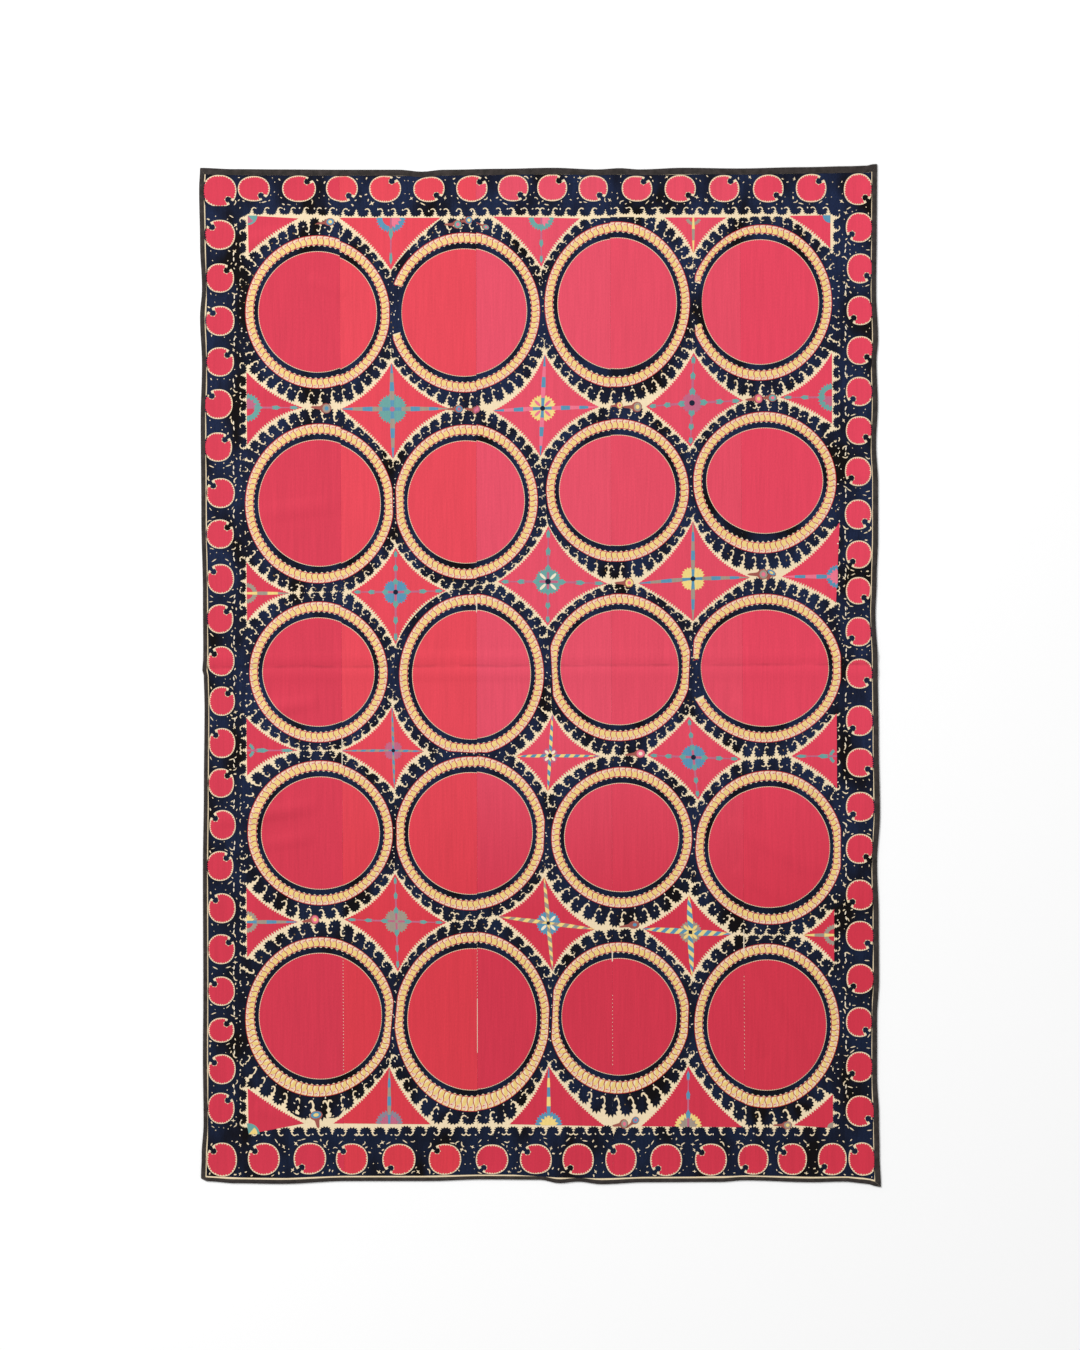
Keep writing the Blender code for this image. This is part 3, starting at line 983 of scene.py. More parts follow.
def lobe_place(out):
    """A share of the lobe as a place among the rings; a place under 0 reaches into the band."""
    return 6 + out if out >= 0 else 6 + out * 2.0


def lobe_chart(leaning, lean, tall):
    """The lobe's outline from one side to the other, mirrored where it leans the other way."""
    chart = [(across + lean * out * (1 - out) * 2, out * tall if out > 0 else out) for across, out in LOBE]
    chart = rounded(chart, 2, False)
    return chart if leaning > 0 else [(-across, out) for across, out in reversed(chart)]


random.seed(12)
specks = []
for key in rings:
    row, column = key
    lobes = round(ring_length(key, 6) / LOBE_PITCH[row])
    leaning = 1 if (row + column) % 2 else -1
    level = HEIGHT["navy"] + LAYER * ((row + column) % 2) * 0.5
    for lobe in range(lobes):
        middle = lobe / lobes
        ray = int(middle * RAYS) % RAYS
        depth = rings[key][7, ray] - rings[key][6, ray]
        inner = [ring_point(key, middle + across / lobes, 5.0) for across in (0.5, 0.25, 0, -0.25, -0.5)]
        if depth < LOBE_SMALL:
            outer = [ring_point(key, middle + across / lobes, 7.0) for across in (-0.5, -0.25, 0, 0.25, 0.5)]
        else:
            if random.random() < 0.12:
                leaning = -leaning
            chart = lobe_chart(leaning, random.uniform(-0.12, 0.12), random.uniform(0.90, 1.04))
            chart[0] = (-0.5, 0.10)
            chart[-1] = (0.5, 0.10)
            outer = [ring_point(key, middle + across / lobes, lobe_place(min(out, 1.0))) for across, out in chart]
        patch("navy", outer + inner, level)
        chance = 0.75 if depth > LOBE_SMALL else 0.9
        if random.random() < chance:
            place = random.uniform(6.15, 6.5) if depth > LOBE_SMALL else random.uniform(5.4, 6.6)
            specks.append((ring_point(key, middle + random.uniform(-0.15, 0.25) / lobes, place), random.random() * 3))
        if depth > LOBE_SMALL:
            place = random.uniform(5.30, 5.55)
            across = 0.5 + 0.12 * leaning + random.uniform(-0.08, 0.08)
            specks.append((ring_point(key, middle + across / lobes, place), 2 * math.pi * middle))
for key, (low, high) in BROKEN_RINGS.items():
    for step in range(9):
        turn = (low + (high - low) * (step + random.uniform(0.1, 0.9)) / 9) / 360
        specks.append((ring_point(key, turn, random.uniform(2.2, 5.0)), 2 * math.pi * turn + 1.57))
for spot, turn in specks:
    size = SPECK * random.uniform(0.55, 0.9)
    long = size * random.uniform(1.2, 2.2)
    colour = "tan" if random.random() < 0.2 else "cream"
    patch("motif", oval(spot, long, size, 6, turn), HEIGHT["leaf"], MOTIF[colour])
print("faces of dark silk:", len(drawings["navy"].faces), "specks:", len(specks))

# %% [markdown]
# ## The stars
# A star is red silk with a comb of fine stitches along its hollow sides. On it a thin pink spine
# runs from tip to tip both ways, with small coloured spearheads along it, and a wheel of petals in
# the middle. Each star was worked in other colours, so a short table names them.

# %% Star fields with combed edges
COMB_PITCH = 8.5 * MM
COMB_DEPTH = {"upper": 7.5 * MM, "lower": 10.0 * MM}


def combed(side, deep):
    """A side with a comb of teeth, which fades towards its two tips."""
    length = sum(math.dist(a, b) for a, b in zip(side, side[1:]))
    teeth = max(2, round(length / COMB_PITCH))
    made = []
    for index in range(2 * teeth):
        share = index / (2 * teeth)
        place = share * (len(side) - 1)
        low = min(int(place), len(side) - 2)
        a, b = side[low], side[low + 1]
        point = [a[axis] + (b[axis] - a[axis]) * (place - low) for axis in (0, 1)]
        run = math.dist(a, b)
        depth = deep * math.sin(math.pi * share) ** 0.8 * (index % 2)
        # Sides run clockwise round the star, so its inside is on the right hand of the side
        made.append((point[0] + (b[1] - a[1]) / run * depth, point[1] - (b[0] - a[0]) / run * depth))
    return made


for star in STARS:
    outline = []
    for faced, side in star_sides(star):
        deep = COMB_DEPTH["lower" if faced[0] == star[0] else "upper"]
        outline += combed(side, deep) if len(side) > 2 else [side[0]]
    patch("red", outline, HEIGHT["star"])
print("red fields:", len(drawings["red"].faces))

# %% [markdown]
# ## Motifs in the stars
# The small motifs are drawn from a few parts. A wheel is a disc with a saw edge, round or in four
# lobes. An arm is a slim spindle striped in two silks, or a thin spine with arrowheads in one silk.
# Small seeds lie between the arms, and an eye covers the crossing.

# %% Parts of the motifs
SAW_PITCH = 10 * MM
SAW_DEPTH = 0.15
STRIPE = 31 * MM
SHORT_STRIPE = 15 * MM
RING_HOLE = 0.56
FAN_GAP = 0.16
SPINDLE = ((0.0, 0.6), (0.35, 1.0), (0.7, 0.75), (1.0, 0.25))  # share of the arm, share of its width
ARROW = ((-0.5, 0.34), (0.12, 0.50), (0.5, 0.06), (0.5, -0.06), (0.12, -0.50), (-0.5, -0.34), (-0.30, 0.0))
WHEEL_SCALE = 1.14  # wheels and arms, drawn this much larger than first measured
ARM_SCALE = 1.15
MOTIF_PLAN = {
    # wheel silk, its radius and number of lobes, seed silk, arm silks, arm half width, arrows, eye
    # radius and eye silk. Sizes are millimetres. No arrows: a striped spindle.
    "teal wheel": ("teal", 42, 0, None, ("blue", "beige"), 6.5, 0, 8, "lilac"),
    "yellow wheel": ("yellow", 38, 0, "pink", ("blue", "pink"), 6.0, 0, 8, "navy"),
    "teal cross": ("lilac", 30, 0, None, ("teal",), 7.0, 3, 9, "navy"),
    "blue wheel": ("blue", 37, 4, None, ("teal",), 6.0, 3, 8, "navy"),
    "petal wheel": ("teal", 39, 4, "cream", ("teal",), 6.5, 3, 9, "navy"),
    "gold wheel": ("yellow", 36, 4, None, ("blue", "beige"), 5.5, 0, 8, "navy"),
    "striped cross beige": ("lilac", 28, 4, None, ("blue", "beige"), 3.5, 0, 6, "navy"),
    "striped cross yellow": ("lilac", 24, 4, "cream", ("yellow", "blue"), 4.5, 0, 7, "navy"),
    "sea wheel": ("blue", 36, 0, None, ("teal",), 6.0, 3, 8, "navy"),
    "olive wheel": ("beige", 36, 4, None, ("teal",), 5.0, 3, 0, None),
    "blue daisy": ("blue", 34, 0, "cream", ("yellow", "beige"), 5.5, 0, 6, "navy"),
    "beige daisy": ("beige", 32, 0, "yellow", ("yellow", "blue"), 8.0, 0, 6, "navy"),
}
FAN_PLAN = {
    # fan silk, radius, inner silk, stem silks, stem half width, arrows, direction and spread
    "corner teal": ("teal", 30, "lilac", (), 0, 0, -45, 90),
    "corner blue": ("blue", 24, None, (), 0, 0, -135, 90),
    "corner teal low": ("teal", 34, "yellow", (), 0, 0, 50, 100),
    "corner beige": ("beige", 18, None, (), 0, 0, 130, 90),
    "fan blue": ("blue", 48, "pink", ("teal",), 5.5, 2, -90, 180),
    "fan teal": ("teal", 42, "pink", ("teal",), 6.0, 3, -90, 180),
    "fan beige": ("beige", 26, None, ("yellow", "beige"), 4.5, 0, -90, 150),
    "fan purple": ("purple", 44, "lilac", ("blue", "beige"), 6.0, 0, 90, 180),
    "fan daisy": ("blue", 44, "yellow", ("yellow", "blue"), 6.0, 0, 90, 180),
    "fan yellow": ("yellow", 44, "beige", ("blue",), 6.0, 3, 90, 180),
    "side teal": ("teal", 46, "lilac", ("teal",), 6.5, 3, 0, 180),
    "side beige": ("beige", 34, None, ("yellow", "beige"), 5.5, 0, 0, 180),
    "side pink": ("blue", 38, "pink", ("pink", "blue"), 6.5, 0, 0, 180),
    "side teal leaf": ("teal", 26, None, ("teal",), 6.0, 2, 0, 130),
    "side mixed": ("beige", 36, "yellow", ("blue", "beige"), 6.0, 0, 0, 180),
}


def ramp(start, end, share):
    """The point a share of the way from start to end."""
    return tuple(start[axis] + (end[axis] - start[axis]) * share for axis in (0, 1))


def along_arm(start, end, shape, height, colour):
    """A shape given as metres along an arm and metres aside from it."""
    angle = math.atan2(end[1] - start[1], end[0] - start[0])
    patch("motif", turned(shape, start, angle), height, MOTIF[colour])


def arm(start, end, colours, half_width, arrows, bare=0.0, stripe=STRIPE):
    """An arm of a star, from its middle out to a tip."""
    length = math.dist(start, end)
    if arrows:
        thin = half_width * 0.55
        spine = ((bare, thin), (length * 0.5, thin * 0.8), (length, 0.4 * MM), (length, -0.4 * MM),
                 (length * 0.5, -thin * 0.8), (bare, -thin))
        along_arm(start, end, spine, HEIGHT["spine"], "lilac")
        for index in range(arrows):
            middle = bare + (length - bare) * (index + 0.62) / arrows
            long = (length - bare) / arrows * 0.50
            wide = 2.8 * half_width * (1.0 - 0.45 * middle / length)
            shape = [(middle + x * long, y * wide) for x, y in ARROW]
            along_arm(start, end, shape, HEIGHT["leaf"], colours[index % len(colours)])
        return
    parts = max(3, round(length / stripe))
    slant = half_width * 0.8 if stripe < STRIPE else 0.0
    for index in range(parts):
        low = bare + (length - bare) * index / parts
        high = bare + (length - bare) * (index + 1) / parts
        middle = (low + high) / 2
        wide = [half_width * float(between(SPINDLE, np.array([x / length]))[0]) for x in (low, middle, high)]
        shape = ((low + slant, wide[0]), (middle + slant, wide[1]), (high + slant, wide[2]),
                 (high - slant, -wide[2]), (middle - slant, -wide[1]), (low - slant, -wide[0]))
        along_arm(start, end, shape, HEIGHT["spine"] + LAYER * (index % 2) * 0.5, colours[index % len(colours)])


def wheel(centre, radius, colour, lobes=0, start=0.0, spread=2 * math.pi, height=0.0):
    """A disc with a saw edge, or part of a ring. In four lobes its edge dips towards the arms."""
    full = spread > 6.0
    steps = 2 * max(4, round(radius * spread / SAW_PITCH))
    points = [] if full else [
        (centre[0] + radius * RING_HOLE * math.cos(start + spread * share),
         centre[1] + radius * RING_HOLE * math.sin(start + spread * share)) for share in (1.0, 0.75, 0.5, 0.25, 0.0)
    ]
    for step in range(steps if full else steps + 1):
        angle = start + spread * step / steps
        reach = radius * (1.0 if step % 2 else 1.0 - SAW_DEPTH)
        if lobes:
            reach *= 0.80 + 0.20 * abs(math.sin(angle * lobes / 2)) ** 0.7
        points.append((centre[0] + reach * math.cos(angle), centre[1] + reach * math.sin(angle)))
    patch("motif", points, height or HEIGHT["line"], MOTIF[colour])


# %% Wheels and arms in the full stars
def full_motif(star):
    """The motif of a star with four tips."""
    colour, radius, lobes, seeds, arms, half_width, arrows, eye, eye_colour = MOTIF_PLAN[star[6]]
    radius *= WHEEL_SCALE
    half_width *= ARM_SCALE
    left, upper, right, lower = [tuple(size * MM for size in tip) for tip in star[2:6]]
    centre = ((upper[0] + lower[0]) / 2, (left[1] + right[1]) / 2 + (upper[1] + lower[1] - left[1] - right[1]) / 12)
    wheel(centre, radius * MM, colour, lobes)
    bare = 5 * MM if arrows else 0.0
    stripe = SHORT_STRIPE if "striped" in star[6] or "daisy" in star[6] else STRIPE
    for tip in (left, upper, right, lower):
        arm(centre, ramp(centre, tip, 0.97), arms, half_width * MM, arrows, bare, stripe)
    if seeds:
        for quarter in range(4):
            angle = math.radians(45 + 90 * quarter)
            place = polar(centre, radius * 0.52 * MM, angle)
            patch("motif", oval(place, radius * 0.30 * MM, 4.6 * MM, 8, angle), HEIGHT["leaf"] + LAYER, MOTIF[seeds])
    if eye:
        patch("motif", oval(centre, eye * MM, eye * MM, 10), HEIGHT["eye"], MOTIF[eye_colour])


def polar(centre, radius, angle):
    """A point at a distance and direction from a centre."""
    return centre[0] + radius * math.cos(angle), centre[1] + radius * math.sin(angle)


def fan_motif(star):
    """The motif of a half or quarter star, which grows from the edge of the field."""
    colour, radius, inner, arms, half_width, arrows, direction, spread = FAN_PLAN[star[6]]
    row, column = star[:2]
    known = {name: tuple(size * MM for size in tip) for name, tip in
             zip(("left", "upper", "right", "lower"), star[2:6]) if tip}
    if star[6].startswith("corner"):
        centre = known["upper"] if row == 0 else known["lower"]
        tip = None
    elif star[6].startswith("fan"):
        tip = known["lower"] if row == 0 else known["upper"]
        centre = (tip[0], (known["left"][1] + known["right"][1]) / 2)
    else:
        tip = known["right"] if column == 0 else known["left"]
        centre = ((known["upper"][0] + known["lower"][0]) / 2, tip[1])
        direction = 0 if column == 0 else 180
    spread = math.radians(spread)
    start = math.radians(direction) - spread / 2
    if not tip:
        wedge = [centre] + [polar(centre, radius * MM, start + spread * step / 8) for step in range(9)]
        patch("motif", wedge, HEIGHT["line"], MOTIF[colour])
        if inner:
            half = [centre] + [polar(centre, radius * 0.8 * MM, start + spread * step / 8) for step in range(5)]
            patch("motif", half, HEIGHT["line"] + LAYER, MOTIF[inner])
        return
    for first in (start, start + spread / 2 + FAN_GAP):
        wheel(centre, radius * MM, colour, 0, first, spread / 2 - FAN_GAP)
    if inner:
        halves = [start, start + spread / 2 + FAN_GAP]
        for first in halves if row == 5 or "pink" in star[6] else halves[1:]:
            turns = [first + (spread / 2 - FAN_GAP) * step / 6 for step in range(7)]
            reach = [radius * MM * (0.50, 0.72)[step % 2] for step in range(7)]
            points = [centre] + [polar(centre, far, turn) for far, turn in zip(reach, turns)]
            patch("motif", points, HEIGHT["line"] + LAYER, MOTIF[inner])
    arm(centre, ramp(centre, tip, 0.96), arms, half_width * MM, arrows)


for star in STARS:
    if star[6] in MOTIF_PLAN:
        full_motif(star)
    else:
        fan_motif(star)
print("motif patches:", len(drawings["motif"].faces))

# %% [markdown]
# ## The border
# A dark border runs round the field, with red palmettes that follow each other clockwise like beads
# on a vine. Each palmette is a round leaf with a saw edge, and a notch with a dark eye on a stem.
# The dark ground is real silk round real gaps: each cell of it is filled with triangle_fill, which
# takes an outer outline and the outlines of the holes in it.

# %% Palmettes of the border, in millimetres on the real cloth
PALMETTES = {
    # place along the side, place across it, half size along, half size across
    "top": (
        (-1001, 1514, 49, 49), (-894, 1521, 49, 39), (-753, 1521, 52, 41), (-619, 1522, 49, 41),
        (-484, 1521, 49, 41), (-347, 1520, 48, 40), (-213, 1522, 48, 40), (-84, 1523, 47, 40),
        (38, 1524, 46, 40), (166, 1522, 45, 40), (303, 1521, 47, 40), (438, 1521, 48, 41),
        (575, 1521, 47, 41), (713, 1521, 47, 42), (847, 1522, 47, 42), (994, 1518, 45, 46),
    ),
    "right": (
        (1398, 998, 46, 43), (1270, 1000, 46, 42), (1139, 1000, 45, 42), (1014, 1000, 44, 42),
        (886, 998, 45, 42), (764, 997, 44, 42), (636, 994, 45, 41), (502, 994, 46, 41),
        (377, 996, 43, 40), (264, 995, 42, 40), (136, 996, 45, 42), (5, 998, 46, 42),
        (-142, 999, 47, 42), (-273, 1000, 45, 42), (-411, 1001, 46, 43), (-542, 999, 46, 43),
        (-686, 1000, 47, 43), (-814, 1000, 46, 43), (-948, 1001, 46, 42), (-1083, 998, 46, 42),
        (-1223, 999, 47, 43), (-1361, 1001, 48, 44),
    ),
    "bottom": (
        (-994, -1512, 46, 52), (-863, -1510, 49, 48), (-719, -1509, 50, 48), (-588, -1511, 49, 49),
        (-441, -1512, 51, 49), (-297, -1512, 50, 49), (-150, -1513, 50, 48), (-13, -1512, 49, 48),
        (119, -1512, 48, 48), (253, -1513, 48, 49), (394, -1514, 49, 49), (534, -1513, 49, 49),
        (666, -1512, 47, 49), (788, -1511, 45, 49), (913, -1511, 44, 50), (1006, -1510, 40, 50),
    ),
    "left": (
        (1377, -1000, 46, 45), (1242, -1000, 45, 43), (1108, -1000, 46, 43), (980, -1000, 45, 43),
        (848, -1005, 46, 43), (714, -1006, 45, 42), (570, -998, 46, 43), (442, -1000, 45, 42),
        (302, -998, 46, 42), (177, -1000, 45, 42), (45, -996, 46, 42), (-80, -994, 45, 42),
        (-211, -994, 46, 43), (-336, -997, 45, 42), (-467, -992, 46, 42), (-595, -1000, 46, 42),
        (-727, -994, 46, 43), (-855, -996, 46, 43), (-986, -996, 45, 43), (-1108, -996, 38, 41),
        (-1230, -994, 46, 43), (-1352, -997, 48, 43),
    ),
}
HEADING = {"top": 0, "right": -90, "bottom": 180, "left": 90}
EVEN_SWING = {"top": 1, "right": -1, "bottom": 1, "left": 1}
NOTCH_TURN = 44
GROUND_INNER = {"top": 1.467, "right": 0.941, "bottom": -1.443, "left": -0.942}
GROUND_OUTER = {
    "top": LENGTH / 2 - BINDING["top"] - GAP,
    "right": WIDTH / 2 - BINDING["right"] - 2.5 * MM,
    "bottom": -LENGTH / 2 + BINDING["bottom"] + 5 * MM,
    "left": -WIDTH / 2 + BINDING["left"] + 3.5 * MM,
}
RIM = 0.8 * MM
PALMETTE_TEETH = 34
TOOTH = 4.5 * MM
BARE = 1.0 * MM
EYE = 8.5 * MM
PAD = 5.5 * MM


def palmette_radius(half_u, half_v, angle):
    """Radius of a palmette in one direction: an oval, a little squared."""
    power = 2.2
    sum_of = (abs(math.cos(angle)) / half_u) ** power + (abs(math.sin(angle)) / half_v) ** power
    return sum_of ** (-1 / power)


def notch_of(side, index):
    """Direction of a palmette's notch: with the vine, to one side and the other in turn."""
    swing = EVEN_SWING[side] * (1 if index % 2 == 0 else -1)
    if (side, index) in (("top", 0), ("bottom", 0)):
        swing = -swing
    return math.radians(HEADING[side] + swing * NOTCH_TURN + random.uniform(-6, 6))


def palmette(centre, half_u, half_v, notch):
    """The red leaf with its saw edge and ragged notch, and the dark stem and eye in the notch."""
    tip = palmette_radius(half_u, half_v, notch)
    eye = polar(centre, tip - 1.7 * EYE, notch)
    open_half = math.asin(min(0.9, (EYE + PAD) / tip))
    edge = []
    for step in range(2 * PALMETTE_TEETH + 1):
        angle = notch + open_half + (2 * math.pi - 2 * open_half) * step / (2 * PALMETTE_TEETH)
        depth = BARE if step % 2 else BARE + TOOTH * random.uniform(0.6, 1.2)
        edge.append(polar(centre, palmette_radius(half_u, half_v, angle) - depth, angle))
    # The bay round the eye is walked back from one side of the notch to the other
    bay = []
    for index, turn in enumerate(range(-75, -286, -30)):
        bay.append(polar(eye, EYE + (0.8 if index % 2 else 3.2) * MM, notch + math.radians(turn)))
    patch("red", edge + bay, HEIGHT["disc"])
    patch("navy", oval(eye, EYE, EYE, 12), HEIGHT["gold"])
    across = notch + math.pi / 2
    root = polar(centre, tip + 3 * MM, notch)
    stem = [polar(root, 7.5 * MM, across), polar(eye, 2.8 * MM, across), polar(eye, -2.8 * MM, across),
            polar(root, -7.5 * MM, across)]
    patch("navy", stem, HEIGHT["gold"] + LAYER)
    for aside in (-1, 1):
        thorn = polar(polar(centre, tip - 1.5 * EYE, notch), aside * 8.0 * MM, across)
        spike = [polar(thorn, 6 * MM, notch), polar(thorn, -1.5 * MM, across), polar(thorn, -5 * MM, notch),
                 polar(thorn, 1.5 * MM, across)]
        patch("navy", spike, HEIGHT["gold"] + LAYER)


# %% [markdown]
# ## The dark ground of the border
# Between the palmettes the dark ground is broken by small bare hooks and flecks, where the leaves of
# the vine curl. They are holes in the ground as well. Its inner edge is a row of lobes towards the
# field, parted by bare tulip shapes, and they are shorter where a roundel comes close.

# %% Border ground with holes
HOLES = (
    # bare shapes in millimetres: a hook, a fleck, a sliver, a twig and a dot
    ((-9, -1.2), (-3, -3.0), (3, -2.6), (7.5, 0.5), (9, 5.5), (6, 6.0), (4.5, 2.2), (1, 0.6), (-4, 0.4)),
    ((-4.5, -1.2), (2, -2.2), (4.5, 0), (2, 2), (-3, 1.6)),
    ((-9, 0), (-3, -1.7), (5, -1.5), (9, 0), (4, 1.4), (-4, 1.6)),
    ((-8, -1.2), (-1, -1.6), (1, -7), (3, -1.4), (8, -0.6), (9, 1.4), (2, 2), (0, 6), (-2, 1.6)),
    ((-2.2, 0), (0, -2), (2.2, 0), (0, 2)),
)
HOLE_RAYS = (
    # direction in degrees from the palmette, and which shape
    (45, 0), (135, 0), (225, 0), (315, 0), (28, 1), (152, 1), (208, 1), (332, 1), (60, 2), (120, 2),
    (240, 2), (300, 2), (38, 3), (142, 3), (218, 3), (322, 3), (20, 4), (72, 4), (160, 4), (108, 4),
    (200, 4), (252, 4), (340, 4), (288, 4), (52, 1), (128, 1), (232, 1), (308, 1),
)
border_cells = bmesh.new()


def filled_with_holes(flat, outline, holes, height):
    """A patch with holes: the outlines as loops of edges, filled by triangle_fill."""
    edges = []
    for loop in [outline] + holes:
        verts = [flat.verts.new((u, v, height)) for u, v in loop]
        edges += [flat.edges.new((a, b)) for a, b in zip(verts, verts[1:] + verts[:1])]
    bmesh.ops.triangle_fill(flat, use_beauty=False, use_dissolve=False, edges=edges, normal=(0, 0, 1))


def middle_of(points):
    """The middle of a small outline."""
    return sum(p[0] for p in points) / len(points), sum(p[1] for p in points) / len(points)


def border_cell(centre, half_u, half_v, corners, neighbours, notch):
    """The dark ground round one palmette, between two cuts across the border."""
    def clear_of(point, other):
        place, wide, tall = other
        angle = math.atan2(point[1] - place[1], point[0] - place[0])
        return math.dist(point, place) > palmette_radius(wide, tall, angle) + RIM + 1.5 * MM

    hole = [polar(centre, palmette_radius(half_u, half_v, a) + RIM, a)
            for a in (2 * math.pi * step / 40 for step in range(40))]
    low = (min(p[0] for p in corners), min(p[1] for p in corners))
    high = (max(p[0] for p in corners), max(p[1] for p in corners))
    holes = [hole]
    rays = list(HOLE_RAYS)
    random.shuffle(rays)
    notch_rays = [(math.degrees(notch) + aside, -1) for aside in (-24, 24, -38, 38)]
    for near, kind in notch_rays + rays + rays:
        angle = math.radians(near + random.uniform(-12, 12) * (kind >= 0))
        reach = palmette_radius(half_u, half_v, angle) + (9 if kind < 0 else random.uniform(6, 24)) * MM
        spot = polar(centre, reach, angle)
        if kind == 2:
            turn = angle + math.pi / 2 + random.uniform(-0.4, 0.4)
        else:
            turn = random.uniform(0, 2 * math.pi)
        size = random.uniform(0.75, 1.15)
        if kind < 0:
            turn = angle + random.uniform(-0.5, 0.5)
            size = 1.15
            kind = 3
        shape = turned([(x * MM, y * MM) for x, y in HOLES[kind]], spot, turn, size)
        margin = 1.5 * MM
        inside = all(low[0] + margin < x < high[0] - margin and low[1] + margin < y < high[1] - margin
                     for x, y in shape)
        clear = all(clear_of(point, other) for point in shape for other in neighbours)
        apart = all(math.dist(spot, middle_of(other)) > 13 * MM for other in holes[1:])
        if inside and clear and apart:
            holes.append(shape)
    filled_with_holes(border_cells, corners, holes, HEIGHT["border"])


random.seed(13)
for side, rows in PALMETTES.items():
    flat_side = side in ("top", "bottom")
    inner, outer = GROUND_INNER[side], GROUND_OUTER[side]
    places = []
    for along, across, half_along, half_across in rows:
        x, y = (along, across) if flat_side else (across, along)
        halves = (half_along, half_across) if flat_side else (half_across, half_along)
        places.append((flat_of(x * MM, y * MM), halves[0] * MM, halves[1] * MM))
    axis = 0 if flat_side else 1
    if side in ("right", "left"):
        ends = [GROUND_INNER["top"], GROUND_INNER["bottom"]]
    else:
        ends = [GROUND_OUTER["left"], GROUND_OUTER["right"]]
    cuts = [(a[0][axis] + b[0][axis]) / 2 for a, b in zip(places, places[1:])]
    cuts = [ends[0]] + cuts + [ends[1]]
    for index, (centre, half_u, half_v) in enumerate(places):
        notch = notch_of(side, index)
        palmette(centre, half_u, half_v, notch)
        first, last = cuts[index], cuts[index + 1]
        if flat_side:
            corners = [(first, inner), (last, inner), (last, outer), (first, outer)]
        else:
            corners = [(inner, first), (inner, last), (outer, last), (outer, first)]
        border_cell(centre, half_u, half_v, corners, places[max(0, index - 1):index + 2], notch)
        if not flat_side and index:
            for aside in (-9, 8):
                spot = (inner + math.copysign((14 + random.uniform(-2, 2)) * MM, inner), first + aside * MM)
                patch("motif", oval(spot, 2.0 * MM, 7.0 * MM, 6, random.uniform(-0.3, 0.3)), HEIGHT["leaf"], MOTIF["cream"])
print("border faces:", len(border_cells.faces))

# %% [markdown]
# ## Lobes of the border
# The lobes that face the field are bumpy, with a bare hook between each and the next. They are the
# roundels' lobe chart again, a little longer. Where a roundel's gold ring reaches into the border
# they have no room, so each is measured against the roundels before it is drawn.

# %% Lobes along the field
BORDER_PITCH = {"top": 41 * MM, "right": 39 * MM, "bottom": 42 * MM, "left": 38 * MM}
BORDER_DEPTH = {"top": 31 * MM, "right": 28 * MM, "bottom": 35 * MM, "left": 27 * MM}
INWARD = {"top": (0, -1), "right": (-1, 0), "bottom": (0, 1), "left": (1, 0)}


def inside_gold(point):
    """Whether a point lies within a roundel's rings, up to its outer red line."""
    for key, table in rings.items():
        centre = ROUNDELS[key[0]][key[1]]
        dx, dy = point[0] - centre[0] * MM, point[1] - centre[1] * MM
        ray = int(math.atan2(dy, dx) / (2 * math.pi) * RAYS) % RAYS
        if math.hypot(dx, dy) < table[5, ray] + 1 * MM:
            return True
    return False


random.seed(14)
for number, (side, depth) in enumerate(BORDER_DEPTH.items()):
    flat_side = side in ("top", "bottom")
    start, end = ((GROUND_INNER["left"], GROUND_INNER["right"]) if flat_side
                  else (GROUND_INNER["bottom"], GROUND_INNER["top"]))
    count = round((end - start) / BORDER_PITCH[side])
    pitch = (end - start) / count
    base = GROUND_INNER[side]
    inward = INWARD[side]
    leaning = 1

    def border_point(across, out):
        """A point along this side's inner edge and out from it towards the field."""
        if flat_side:
            return (across, base + inward[1] * out)
        return (base + inward[0] * out, across)

    for index in range(count):
        middle = start + (index + 0.5) * pitch
        own = depth * random.uniform(0.90, 1.05)
        while own > 3 * MM and any(
            inside_gold(border_point(middle + pitch * a, own * d)) for a, d in ((0, 1), (0.45, 0.7), (-0.45, 0.7))
        ):
            own -= 2 * MM
        if own <= 3 * MM:
            continue
        level = HEIGHT["lobe"] + LAYER * (number % 2)
        if own < 0.6 * depth:
            block = [border_point(middle + pitch * a, own * d) for a, d in ((-0.5, 0), (-0.5, 1), (0.5, 1), (0.5, 0))]
            patch("navy", block, level)
            continue
        if random.random() < 0.2:
            leaning = -leaning
        chart = lobe_chart(leaning, random.uniform(-0.10, 0.10), 1.0)
        points = [border_point(middle + pitch * across, own * (0.17 + 0.83 * out)) for across, out in chart]
        foot = [border_point(middle + pitch * across, -1 * MM) for across in (0.5, -0.5)]
        patch("navy", points + foot, level)
        if random.random() < 0.6:
            spot = border_point(middle + pitch * random.uniform(-0.1, 0.3), own * random.uniform(0.2, 0.4))
            turn = random.random() * 3
            patch("motif", oval(spot, 3.0 * MM, 2.0 * MM, 6, turn), HEIGHT["leaf"], MOTIF["cream"])
print("faces of dark silk with the border:", len(drawings["navy"].faces))

# %% [markdown]
# ## Buds where the tips of the stars meet
# On the bare cotton between two facing star tips the embroiderers left small buds in spare silks.

